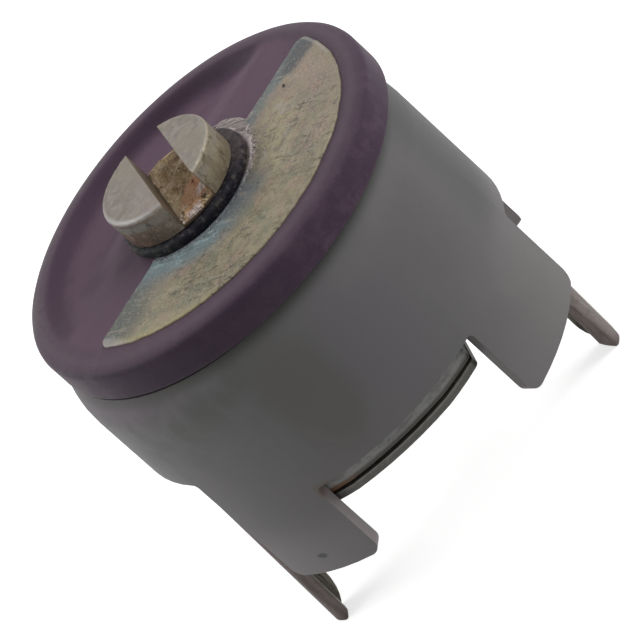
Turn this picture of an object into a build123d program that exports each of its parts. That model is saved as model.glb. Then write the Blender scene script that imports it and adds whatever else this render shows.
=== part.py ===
from build123d import *
import os
from math import cos, radians, sin

# A ceramic disc trimmer capacitor for a printed board, in millimetres.
# Z = 0 is the board, where the four feet stand. +Z is the rotor's axis, towards the screwdriver.
# The front, -Y, is the side where the wide notch shows the end of the contact strip.

# Where the two axes lie: the disc stands out past the housing on one side.
AXIS_OFFSET = 0.2

# Clearances
RUNNING_GAP = 0.03
BORE_CLEARANCE = 0.05
SEAT_CLEARANCE = 0.02
PEDESTAL_CLEARANCE = 0.08

# Housing: a thin round skirt with four feet
HOUSING_DIAMETER = 10.0
HOUSING_WALL = 0.35
HOUSING_HEIGHT = 6.35
SHOULDER_HEIGHT = 1.0
SHOULDER_SETBACK = 0.25
STRIP_NOTCH_SPREAD = 58.5
STRIP_NOTCH_HEIGHT = 2.28
ROTOR_NOTCH_SPREAD = 38.5
ROTOR_NOTCH_HEIGHT = 2.28
STATOR_NOTCH_SPREAD = 57.5
STATOR_NOTCH_HEIGHT = 3.45
FOOT_CORNER_RADIUS = 0.3
NOTCH_CORNER_RADIUS = 0.12
LEDGE_REACH = 0.4
LEDGE_HEIGHT = 0.4
LEDGE_ANGLE = 54.0
LEDGE_SPREAD = 24.0

# Stator body: a ceramic disc on a pedestal
STATOR_THICKNESS = 1.0
PEDESTAL_WIDTH = 4.8
PEDESTAL_END_GAP = 0.15
PEDESTAL_END_RADIUS = 6.65
PEDESTAL_CORNER_RADIUS = 0.2
PEDESTAL_ANGLE = -5.2
PEDESTAL_BASE = 1.71

# Silver films
STATOR_FILM_THICKNESS = 0.04
STATOR_FILM_MARGIN = 0.8
STATOR_FILM_SETBACK = 0.35
STATOR_FILM_BORE_MARGIN = 0.5
VIA_DIAMETER = 0.6
ROTOR_FILM_THICKNESS = 0.06
ROTOR_FILM_MARGIN = 0.56
ROTOR_FILM_SETBACK = 0.35
ROTOR_FILM_ANGLE = 25.2
ROTOR_FILM_CORNER_RADIUS = 0.12
HUB_PAD_RADIUS = 2.15
HUB_PAD_START = -52.0
HUB_PAD_END = 138.0

# Terminals, stamped from one gauge of tinned strip
TERMINAL_THICKNESS = 0.2
BEND_RADIUS = 0.15
LEG_WIDTH = 0.7
LEG_REACH = 2.9
LEG_TAPER_LENGTH = 0.95
LEG_TIP_SETBACK = 0.2
LEG_TIP_RISE = 0.14
LEG_TIP_ROUND = 0.07
STATOR_LEG_GAP = 0.15
STATOR_LEG_SPLAY = 2.2
STATOR_LEG_LONG_FLANGE = 0.56
STATOR_LEG_SHORT_FLANGE = 0.35
STATOR_LEG_FOLD_TOP = 2.9
STATOR_TAB_GAP = 0.5
ROTOR_LEG_GAP = 0.12
ROTOR_LEG_SPLAY = -1.6
ROTOR_LEG_LONG_FLANGE = 0.58
ROTOR_LEG_SHORT_FLANGE = 0.46
ROTOR_LEG_FOLD_TOP = 0.9
STRIP_BOW = 0.09
STRAP_OVERLAP = 0.5

# Rotor disc, as wide as the housing
ROTOR_THICKNESS = 1.03
ROTOR_TOP_ROUND = 0.16
ROTOR_BASE_ROUND = 0.12
POCKET_MARGIN = 0.64
POCKET_SETBACK = 1.2
POCKET_DEPTH = 0.28
POCKET_CORNER_RADIUS = 0.2
HUB_RADIUS = 2.0

# Spindle, and what is threaded on it
SPINDLE_DIAMETER = 1.8
SPINDLE_END = 0.4
HEAD_DIAMETER = 3.13
HEAD_HEIGHT = 0.84
HEAD_ROUND = 0.1
SLOT_WIDTH = 0.97
SLOT_DEPTH = 0.78
WASHER_DIAMETER = 3.56
WASHER_THICKNESS = 0.3
WASHER_ROUND = 0.06
SOLDER_WIDTH = 0.35
SOLDER_HEIGHT = 0.08
SOLDER_EDGE = 0.03
SOLDER_SLOPE = 0.12
COLLAR_DIAMETER = 2.6
COLLAR_HEIGHT = 0.6
COLLAR_CHAMFER = 0.1
SPRING_DIAMETER = 2.9
SPRING_THICKNESS = 0.12
SPRING_RISE = 0.18

# Places worked out from the sizes above
rotor_x = AXIS_OFFSET / 2
housing_x = -AXIS_OFFSET / 2
housing_radius = HOUSING_DIAMETER / 2
inner_radius = housing_radius - HOUSING_WALL
rotor_radius = housing_radius
pedestal_length = 2 * (inner_radius - PEDESTAL_END_GAP)
via_radius = (PEDESTAL_WIDTH / 2 + inner_radius) / 2
stator_tab_end = PEDESTAL_WIDTH / 2 + STATOR_TAB_GAP
stator_leg_radius = inner_radius - STATOR_LEG_GAP
rotor_leg_radius = inner_radius - ROTOR_LEG_GAP
stator_film_radius = rotor_radius - STATOR_FILM_MARGIN
rotor_film_radius = rotor_radius - ROTOR_FILM_MARGIN
pocket_radius = rotor_radius - POCKET_MARGIN
stator_top = HOUSING_HEIGHT
stator_underside = stator_top - STATOR_THICKNESS
strip_top = PEDESTAL_BASE
strip_underside = strip_top - TERMINAL_THICKNESS
rotor_base = stator_top + STATOR_FILM_THICKNESS + RUNNING_GAP
rotor_top = rotor_base + ROTOR_THICKNESS
washer_base = rotor_top + ROTOR_FILM_THICKNESS
washer_top = washer_base + WASHER_THICKNESS
head_top = washer_top + HEAD_HEIGHT
spring_top = strip_underside - RUNNING_GAP
spring_base = spring_top - SPRING_THICKNESS - SPRING_RISE
spindle_bore_radius = SPINDLE_DIAMETER / 2 + SEAT_CLEARANCE
bearing_radius = SPINDLE_DIAMETER / 2 + BORE_CLEARANCE


def disc(radius, height, x, base):
    """A plain upright cylinder whose lower face is at the given height."""
    flat_base = (Align.CENTER, Align.CENTER, Align.MIN)
    return Pos(x, 0, base) * Cylinder(radius, height, align=flat_base)


def half_disc(radius, setback):
    """A flat D: the part of a round outline that lies more than a setback in front of its centre."""
    front = (Align.CENTER, Align.MAX)
    keep = Pos(0, -setback) * Rectangle(2 * radius, radius, align=front)
    return Circle(radius) & keep


def sector(radius, start, end):
    """A flat pie slice, its angles counted from the front towards +X."""
    tips = [(radius * sin(radians(angle)), -radius * cos(radians(angle))) for angle in (start, end)]
    middle = radians((start + end) / 2)
    crown = (radius * sin(middle), -radius * cos(middle))
    edge = Line((0, 0), tips[0]) + ThreePointArc(tips[0], crown, tips[1]) + Line(tips[1], (0, 0))
    return make_face(edge)


def notch_cutter(spread, height, direction):
    """What is cut away between two feet: a pie slice about the housing's axis, as high as the notch."""
    slice_face = sector(2 * housing_radius, direction - spread / 2, direction + spread / 2)
    return Pos(housing_x, 0, 0) * extrude(slice_face, height)


def ledge(angle):
    """A short step inside the wall that carries the rim of the stator's disc."""
    base = stator_underside - LEDGE_HEIGHT
    ring = disc(inner_radius + HOUSING_WALL / 2, LEDGE_HEIGHT, 0, base)
    ring -= disc(inner_radius - LEDGE_REACH, LEDGE_HEIGHT, 0, base)
    slice_face = sector(housing_radius, angle - LEDGE_SPREAD / 2, angle + LEDGE_SPREAD / 2)
    wedge = Pos(0, 0, base) * extrude(slice_face, LEDGE_HEIGHT)
    return Pos(housing_x, 0, 0) * (ring & wedge)


def skirt_section():
    """Half the skirt's section: a straight wall whose rim is drawn in by a round shoulder."""
    shoulder_base = (housing_radius, HOUSING_HEIGHT - SHOULDER_HEIGHT)
    rim = (housing_radius - SHOULDER_SETBACK, HOUSING_HEIGHT)
    inside = Polyline(rim, (inner_radius, HOUSING_HEIGHT), (inner_radius, 0), (housing_radius, 0))
    wall = Line((housing_radius, 0), shoulder_base)
    return make_face(inside + wall + TangentArc(shoulder_base, rim, tangent=(0, 1)))


def level_cut_edges(skirt, height):
    """The short radial edges that a notch leaves at one height, where its sides turn a corner."""
    lines = skirt.edges().filter_by(GeomType.LINE).filter_by(Plane.XY)
    return [edge for edge in lines if abs(edge.center().Z - height) < 0.001]


def make_housing():
    """The thin skirt: open at the top for the stator, four feet below, a notch between each two."""
    skirt = Pos(housing_x, 0, 0) * revolve(Plane.XZ * skirt_section(), Axis.Z)
    skirt -= notch_cutter(STRIP_NOTCH_SPREAD, STRIP_NOTCH_HEIGHT, 0)
    skirt -= notch_cutter(ROTOR_NOTCH_SPREAD, ROTOR_NOTCH_HEIGHT, 90)
    skirt -= notch_cutter(STRIP_NOTCH_SPREAD, STRIP_NOTCH_HEIGHT, 180)
    skirt -= notch_cutter(STATOR_NOTCH_SPREAD, STATOR_NOTCH_HEIGHT, 270)
    skirt = fillet(level_cut_edges(skirt, 0), FOOT_CORNER_RADIUS)
    for height in {STRIP_NOTCH_HEIGHT, ROTOR_NOTCH_HEIGHT, STATOR_NOTCH_HEIGHT}:
        skirt = fillet(level_cut_edges(skirt, height), NOTCH_CORNER_RADIUS)
    for angle in (LEDGE_ANGLE, -LEDGE_ANGLE, 180 - LEDGE_ANGLE, LEDGE_ANGLE - 180):
        skirt += ledge(angle)
    return skirt


def bar_outline():
    """The shared outline of pedestal and contact strip: straight sides, shallow round ends."""
    end_centre = pedestal_length / 2 - PEDESTAL_END_RADIUS
    front_round = Pos(0, -end_centre) * Circle(PEDESTAL_END_RADIUS)
    back_round = Pos(0, end_centre) * Circle(PEDESTAL_END_RADIUS)
    room = Circle(inner_radius - PEDESTAL_CLEARANCE)
    outline = Rectangle(PEDESTAL_WIDTH, pedestal_length) & front_round & back_round & room
    corners = [v for v in outline.vertices() if abs(abs(v.X) - PEDESTAL_WIDTH / 2) < 0.001]
    outline = fillet(corners, PEDESTAL_CORNER_RADIUS)
    return Pos(housing_x, 0) * Rot(0, 0, PEDESTAL_ANGLE) * outline


def make_stator_body():
    """The ceramic stator: a disc that lies on the ledges, over a pedestal that the strip bears on."""
    plate = disc(inner_radius - SEAT_CLEARANCE, STATOR_THICKNESS, housing_x, stator_underside)
    pedestal = extrude(Pos(0, 0, PEDESTAL_BASE) * bar_outline(), stator_underside - PEDESTAL_BASE)
    body = plate + pedestal
    body -= disc(bearing_radius, HOUSING_HEIGHT, rotor_x, 0)
    body -= disc(VIA_DIAMETER / 2, HOUSING_HEIGHT, housing_x - via_radius, 0)
    return body


def make_stator_electrode():
    """The stator's silver film, with the plated hole that leads down to its terminal."""
    outline = Rot(0, 0, -90) * half_disc(stator_film_radius, STATOR_FILM_SETBACK)
    outline = outline - Circle(bearing_radius + STATOR_FILM_BORE_MARGIN)
    film = extrude(Pos(rotor_x, 0, stator_top) * outline, STATOR_FILM_THICKNESS)
    via_height = STATOR_THICKNESS + STATOR_FILM_THICKNESS
    return film + disc(VIA_DIAMETER / 2, via_height, housing_x - via_radius, stator_underside)


def leg_section(long_flange, short_flange):
    """The folded section of a leg: a web outside, a long flange behind and a short one in front."""
    web = Rectangle(TERMINAL_THICKNESS, LEG_WIDTH, align=(Align.MAX, Align.CENTER))
    flange_y = (LEG_WIDTH - TERMINAL_THICKNESS) / 2
    back = Rectangle(long_flange, TERMINAL_THICKNESS, align=(Align.MAX, Align.CENTER))
    front = Rectangle(short_flange, TERMINAL_THICKNESS, align=(Align.MAX, Align.CENTER))
    section = web + Pos(0, flange_y) * back + Pos(0, -flange_y) * front
    outer_corners = section.vertices().group_by(Axis.X)[-1]
    return fillet(outer_corners, BEND_RADIUS)


def leg_outline(depth, length):
    """The outline of a leg seen from the front: straight outside, drawn in to a blunt, rounded point."""
    taper_top = (-depth, LEG_TAPER_LENGTH - length)
    tip = (-LEG_TIP_SETBACK, -length)
    outer_corner = (0, LEG_TIP_RISE - length)
    sides = Polyline(tip, outer_corner, (0, 0), (-depth, 0), taper_top)
    outline = make_face(sides + TangentArc(taper_top, tip, tangent=(0, -1)))
    for place in (tip, outer_corner):
        outline = fillet(outline.vertices().sort_by_distance(place)[0], LEG_TIP_ROUND)
    return outline


def folded_leg(long_flange, short_flange, fold_start, length):
    """The folded part of a leg whose web's outer face is at X = 0, counted down from the bend at Z = 0."""
    channel = extrude(Pos(0, 0, -length) * leg_section(long_flange, short_flange), length - fold_start)
    return channel & extrude(Plane.XZ * leg_outline(long_flange, length), LEG_WIDTH, both=True)


def bent_strap(reach, drop, splay):
    """A flat strap whose top ends at X = 0, Z = 0, bent down there and leaning out by the splay."""
    lean = radians(splay)
    down = Vector(sin(lean), -cos(lean))
    inward = Vector(-cos(lean), -sin(lean)) * TERMINAL_THICKNESS
    inner_bend = Vector(-TERMINAL_THICKNESS * (1 - sin(lean)) / cos(lean), -TERMINAL_THICKNESS)
    top = Polyline((-reach, 0), (0, 0), down * drop, down * drop + inward)
    underside = Polyline(down * drop + inward, inner_bend, (-reach, -TERMINAL_THICKNESS), (-reach, 0))
    section = make_face(top + underside)
    for corner, radius in ((Vector(0, 0), BEND_RADIUS + TERMINAL_THICKNESS), (inner_bend, BEND_RADIUS)):
        nearest = section.vertices().sort_by_distance(corner)[0]
        section = fillet(nearest, radius)
    return extrude(Plane.XZ * section, LEG_WIDTH / 2, both=True)


def make_stator_terminal():
    """The stator's terminal: a tab under the ceramic disc, a strap down the wall and a folded leg."""
    drop = stator_underside - STATOR_LEG_FOLD_TOP
    length = stator_underside + LEG_REACH
    strap = bent_strap(stator_leg_radius - stator_tab_end, drop, STATOR_LEG_SPLAY)
    leg = folded_leg(STATOR_LEG_LONG_FLANGE, STATOR_LEG_SHORT_FLANGE, drop, length)
    terminal = mirror(strap + Rot(0, -STATOR_LEG_SPLAY, 0) * leg, Plane.YZ)
    return Pos(housing_x - stator_leg_radius, 0, stator_underside) * terminal


def make_rotor_terminal():
    """The rotor's terminal: a bowed contact strip under the pedestal, with a folded leg on one side."""
    half_length = pedestal_length / 2
    bow = ThreePointArc((-half_length, -STRIP_BOW), (0, 0), (half_length, -STRIP_BOW))
    underside = Pos(0, -TERMINAL_THICKNESS) * bow
    ends = Line(bow @ 0, underside @ 0) + Line(bow @ 1, underside @ 1)
    side = Plane.YZ * make_face(bow + underside + ends)
    sheet = extrude(side, PEDESTAL_WIDTH, both=True)
    sheet = Pos(housing_x, 0, strip_top) * Rot(0, 0, PEDESTAL_ANGLE) * sheet
    strip = sheet & extrude(bar_outline(), PEDESTAL_BASE)
    drop = strip_top - ROTOR_LEG_FOLD_TOP
    strap = bent_strap(rotor_leg_radius - PEDESTAL_WIDTH / 2 + STRAP_OVERLAP, drop, ROTOR_LEG_SPLAY)
    leg = folded_leg(ROTOR_LEG_LONG_FLANGE, ROTOR_LEG_SHORT_FLANGE, drop, strip_top + LEG_REACH)
    side_leg = strap + Rot(0, -ROTOR_LEG_SPLAY, 0) * leg
    terminal = strip + Pos(housing_x + rotor_leg_radius, 0, strip_top) * side_leg
    return terminal - disc(bearing_radius, PEDESTAL_BASE, rotor_x, 0)


def pocket_outline():
    """The sunk D on the bare half of the disc, kept clear of the hub."""
    outline = Rot(0, 0, 180) * half_disc(pocket_radius, POCKET_SETBACK)
    outline = fillet(outline.vertices(), POCKET_CORNER_RADIUS)
    return outline - Circle(HUB_RADIUS)


def make_rotor_disc():
    """The violet ceramic disc, with rounded edges and a shallow pocket in its bare half."""
    plate = disc(rotor_radius, ROTOR_THICKNESS, 0, 0)
    plate = fillet(plate.edges().sort_by(Axis.Z)[-1], ROTOR_TOP_ROUND)
    plate = fillet(plate.edges().sort_by(Axis.Z)[0], ROTOR_BASE_ROUND)
    pocket = extrude(Pos(0, 0, ROTOR_THICKNESS) * pocket_outline(), -POCKET_DEPTH)
    plate -= Rot(0, 0, ROTOR_FILM_ANGLE) * pocket
    plate -= disc(spindle_bore_radius, ROTOR_THICKNESS, 0, 0)
    return Pos(rotor_x, 0, rotor_base) * plate


def make_rotor_electrode():
    """The rotor's silver film: a D on one half, and a pad round the hub that carries the solder."""
    outline = half_disc(rotor_film_radius, ROTOR_FILM_SETBACK)
    outline = Rot(0, 0, ROTOR_FILM_ANGLE) * fillet(outline.vertices(), ROTOR_FILM_CORNER_RADIUS)
    outline = outline + sector(HUB_PAD_RADIUS, HUB_PAD_START, HUB_PAD_END)
    outline = outline + Circle(WASHER_DIAMETER / 2) - Circle(spindle_bore_radius)
    return extrude(Pos(rotor_x, 0, rotor_top) * outline, ROTOR_FILM_THICKNESS)


def make_solder_bead():
    """The low bead of solder that joins the washer to the film, along the silvered side only."""
    inner = WASHER_DIAMETER / 2
    outer = inner + SOLDER_WIDTH
    edge_top = washer_base + SOLDER_EDGE
    crest = washer_base + SOLDER_HEIGHT
    section = Polyline(
        (inner, washer_base),
        (inner, edge_top),
        (inner + SOLDER_SLOPE, crest),
        (outer - SOLDER_SLOPE, crest),
        (outer, edge_top),
        (outer, washer_base),
        close=True,
    )
    bead = revolve(Plane.XZ * make_face(section), Axis.Z, HUB_PAD_END - HUB_PAD_START)
    return Pos(rotor_x, 0, 0) * Rot(0, 0, HUB_PAD_START - 90) * bead


def make_contact_washer():
    """The dark washer under the head."""
    ring = disc(WASHER_DIAMETER / 2, WASHER_THICKNESS, rotor_x, washer_base)
    ring = fillet(ring.edges().sort_by(Axis.Z)[-1], WASHER_ROUND)
    return ring - disc(spindle_bore_radius, WASHER_THICKNESS, rotor_x, washer_base)


def make_spindle():
    """The slotted head and its spindle, turned in one piece."""
    head = disc(HEAD_DIAMETER / 2, HEAD_HEIGHT, 0, washer_top)
    head = fillet(head.edges().sort_by(Axis.Z)[-1], HEAD_ROUND)
    slot = Pos(0, 0, head_top - SLOT_DEPTH / 2) * Box(SLOT_WIDTH, 2 * HEAD_DIAMETER, SLOT_DEPTH)
    head -= slot
    stem = disc(SPINDLE_DIAMETER / 2, washer_top - SPINDLE_END, 0, SPINDLE_END)
    return Pos(rotor_x, 0, 0) * (head + stem)


def make_spring_washer():
    """A dished washer that draws the rotor down on the stator."""
    inner = spindle_bore_radius
    outer = SPRING_DIAMETER / 2
    section = Polyline(
        (inner, spring_base),
        (outer, spring_base + SPRING_RISE),
        (outer, spring_base + SPRING_RISE + SPRING_THICKNESS),
        (inner, spring_base + SPRING_THICKNESS),
        close=True,
    )
    return Pos(rotor_x, 0, 0) * revolve(Plane.XZ * make_face(section), Axis.Z)


def make_retaining_collar():
    """The collar pressed on the end of the spindle, under the spring washer."""
    base = spring_base - COLLAR_HEIGHT
    collar = disc(COLLAR_DIAMETER / 2, COLLAR_HEIGHT, rotor_x, base)
    collar = chamfer(collar.edges().sort_by(Axis.Z)[0], COLLAR_CHAMFER)
    return collar - disc(spindle_bore_radius, COLLAR_HEIGHT, rotor_x, base)


PIECES = {
    "housing": make_housing,
    "stator_body": make_stator_body,
    "stator_electrode": make_stator_electrode,
    "stator_terminal": make_stator_terminal,
    "rotor_terminal": make_rotor_terminal,
    "rotor_disc": make_rotor_disc,
    "rotor_electrode": make_rotor_electrode,
    "solder_bead": make_solder_bead,
    "contact_washer": make_contact_washer,
    "spindle": make_spindle,
    "spring_washer": make_spring_washer,
    "retaining_collar": make_retaining_collar,
}

os.makedirs("parts", exist_ok=True)
for name, make in PIECES.items():
    export_step(make(), f"parts/{name}.step")
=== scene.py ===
"""A ceramic disc trimmer capacitor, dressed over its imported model."""

import logging
import math
from dataclasses import dataclass, field
from enum import Enum
from typing import Any, Sequence

import bmesh
import bpy
from mathutils import Matrix, Vector, noise


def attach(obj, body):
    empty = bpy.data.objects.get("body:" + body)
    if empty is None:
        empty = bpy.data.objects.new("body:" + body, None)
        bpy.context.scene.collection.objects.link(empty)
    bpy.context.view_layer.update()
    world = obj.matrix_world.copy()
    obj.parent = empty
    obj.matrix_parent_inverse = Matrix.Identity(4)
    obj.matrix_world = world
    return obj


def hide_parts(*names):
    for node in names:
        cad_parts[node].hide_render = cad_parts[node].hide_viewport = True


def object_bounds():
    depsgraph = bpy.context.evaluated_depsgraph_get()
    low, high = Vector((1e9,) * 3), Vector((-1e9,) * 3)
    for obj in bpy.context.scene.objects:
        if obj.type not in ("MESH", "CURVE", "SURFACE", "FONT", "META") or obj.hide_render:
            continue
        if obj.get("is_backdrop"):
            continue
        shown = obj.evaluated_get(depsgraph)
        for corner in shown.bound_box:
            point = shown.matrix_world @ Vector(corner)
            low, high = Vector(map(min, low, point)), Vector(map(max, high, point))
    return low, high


MM = 0.001
Colour = tuple[float, float, float, float]
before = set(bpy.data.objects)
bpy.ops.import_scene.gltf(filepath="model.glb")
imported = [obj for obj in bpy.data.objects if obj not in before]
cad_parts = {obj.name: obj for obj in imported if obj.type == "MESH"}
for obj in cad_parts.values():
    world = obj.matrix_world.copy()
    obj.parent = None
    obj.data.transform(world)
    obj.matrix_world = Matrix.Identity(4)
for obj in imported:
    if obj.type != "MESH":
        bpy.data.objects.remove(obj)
LOG = logging.getLogger("trimmer")

# Places and sizes of the solids, in millimetres and degrees
HOUSING_X = -0.1
ROTOR_X = 0.1
HOUSING_TOP = 6.35
DISC_BASE = 6.42
DISC_THICKNESS = 1.03
FILM_ANGLE = 25.2
FILM_SETBACK = 0.35
FILM_BASE = DISC_BASE + DISC_THICKNESS
FILM_THICKNESS = 0.06
FILM_TOP = FILM_BASE + FILM_THICKNESS
SLOT_FLOOR = 7.87
HALF_SLOT = 0.485
HEAD_TOP = 8.65

# How far the head sits from its stem's axis, across and along the slot
HEAD_SHIFT = (-0.145, -0.19)

# How meshes are cleaned and finished, in millimetres and degrees
MERGE_DISTANCE = 0.0005
FLAT_ANGLE = 0.4
ROUND_SEGMENTS = 3
GROWN_SHARP = 50.0


class Body(Enum):
    """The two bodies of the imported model."""

    STATOR = "stator"
    ROTOR = "rotor"


def grey(level: float) -> Colour:
    """A neutral colour of one level."""
    return (level, level, level, 1.0)


def tone(red: float, green: float, blue: float) -> Colour:
    """A colour from its shares, with full cover."""
    return (red, green, blue, 1.0)


def smooth_step(low: float, high: float, value: float) -> float:
    """A soft step from 0 at low to 1 at high."""
    share = min(max((value - low) / (high - low), 0.0), 1.0)
    return share * share * (3.0 - 2.0 * share)


def film_axes(x: Any, y: Any, angle: float) -> tuple[Any, Any]:
    """A place along the film's straight edge and behind it.

    Args:
        x: The place from the rotor's axis towards +X, as a number or a socket.
        y: The place towards +Y, of the same kind.
        angle: How far the film's edge is turned, in degrees.

    Returns:
        How far it lies along the edge, and how far behind it.
    """
    turn = math.radians(angle)
    return x * math.cos(turn) + y * math.sin(turn), y * math.cos(turn) - x * math.sin(turn)


class Sock:
    """A value socket whose sums in Python add Math nodes to its tree."""

    def __init__(self, owner: "Tree", link: bpy.types.NodeSocket) -> None:
        """Keeps the tree and the output socket."""
        self.owner = owner
        self.link = link

    def _math(self, operation: str, *values: Any) -> "Sock":
        """Adds one Math node.

        Args:
            operation: The Math node's operation.
            values: Its operands, as numbers or sockets.

        Returns:
            The node's result.
        """
        made = self.owner.node("ShaderNodeMath", {"operation": operation}, dict(enumerate(values)))
        return Sock(self.owner, made.outputs[0])

    def __add__(self, other: Any) -> "Sock":
        """The sum."""
        return self._math("ADD", self, other)

    def __radd__(self, other: Any) -> "Sock":
        """The sum, the number first."""
        return self._math("ADD", other, self)

    def __sub__(self, other: Any) -> "Sock":
        """The difference."""
        return self._math("SUBTRACT", self, other)

    def __rsub__(self, other: Any) -> "Sock":
        """The difference, the number first."""
        return self._math("SUBTRACT", other, self)

    def __mul__(self, other: Any) -> "Sock":
        """The product."""
        return self._math("MULTIPLY", self, other)

    def __rmul__(self, other: Any) -> "Sock":
        """The product, the number first."""
        return self._math("MULTIPLY", other, self)

    def __truediv__(self, other: Any) -> "Sock":
        """The quotient."""
        return self._math("DIVIDE", self, other)

    def __rtruediv__(self, other: Any) -> "Sock":
        """The quotient, the number first."""
        return self._math("DIVIDE", other, self)

    def __neg__(self) -> "Sock":
        """The value with its sign turned."""
        return self * -1.0

    def __abs__(self) -> "Sock":
        """The value without its sign."""
        return self._math("ABSOLUTE", self)

    def greater(self, other: Any) -> "Sock":
        """The greater of two values."""
        return self._math("MAXIMUM", self, other)

    def root(self) -> "Sock":
        """The square root."""
        return self._math("SQRT", self)

    def angle_with(self, other: Any) -> "Sock":
        """The angle whose tangent is this value over the other, in radians."""
        return self._math("ARCTAN2", self, other)

    def step(self, low: float, high: float) -> "Sock":
        """A soft mask of the value.

        Args:
            low: Where the mask is 0.
            high: Where the mask is 1, which may be less than low.

        Returns:
            The mask.
        """
        settings = {"interpolation_type": "SMOOTHSTEP"}
        if low < high:
            ends = {"Value": self, "From Min": low, "From Max": high, "To Min": 0.0, "To Max": 1.0}
        else:
            ends = {"Value": self, "From Min": high, "From Max": low, "To Min": 1.0, "To Max": 0.0}
        return Sock(self.owner, self.owner.node("ShaderNodeMapRange", settings, ends).outputs[0])


class Tree:
    """A node tree while it is being made, with lengths in millimetres."""

    def __init__(self, tree: bpy.types.NodeTree) -> None:
        """Starts on an empty tree."""
        self.tree = tree
        self.tree.nodes.clear()

    def node(self, kind: str, settings: dict[str, Any], sockets: dict[Any, Any]) -> bpy.types.Node:
        """Adds one node.

        Args:
            kind: The node's type.
            settings: Its settings, set before its sockets.
            sockets: Values or links of its inputs, by name or number.

        Returns:
            The node.
        """
        made = self.tree.nodes.new(kind)
        for key, value in settings.items():
            setattr(made, key, value)
        for key, value in sockets.items():
            if isinstance(value, Sock):
                value = value.link
            if isinstance(value, bpy.types.NodeSocket):
                self.tree.links.new(value, made.inputs[key])
            else:
                made.inputs[key].default_value = value
        return made

    def parts(self, vector: bpy.types.NodeSocket) -> tuple[Sock, Sock, Sock]:
        """The three shares of a vector."""
        split = self.node("ShaderNodeSeparateXYZ", {}, {0: vector})
        return tuple(Sock(self, output) for output in split.outputs)

    def joined(self, x: Any, y: Any, z: Any) -> bpy.types.NodeSocket:
        """A vector from its three shares."""
        return self.node("ShaderNodeCombineXYZ", {}, {0: x, 1: y, 2: z}).outputs[0]

    def clouds(
        self,
        vector: bpy.types.NodeSocket,
        scale: float,
        detail: float = 3.0,
        seed: float = 0.0,
        rough: float = 0.55,
        twist: float = 0.0,
    ) -> Sock:
        """Soft random clouds.

        Args:
            vector: Where the pattern is read.
            scale: Clouds to the millimetre.
            detail: How many finer layers it has.
            seed: A number that picks another pattern.
            rough: How strong the finer layers are.
            twist: How far the pattern is distorted.

        Returns:
            A value about 0.5.
        """
        sockets = {
            "Vector": vector,
            "W": seed,
            "Scale": scale,
            "Detail": detail,
            "Roughness": rough,
            "Distortion": twist,
        }
        return Sock(self, self.node("ShaderNodeTexNoise", {"noise_dimensions": "4D"}, sockets).outputs[0])


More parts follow.
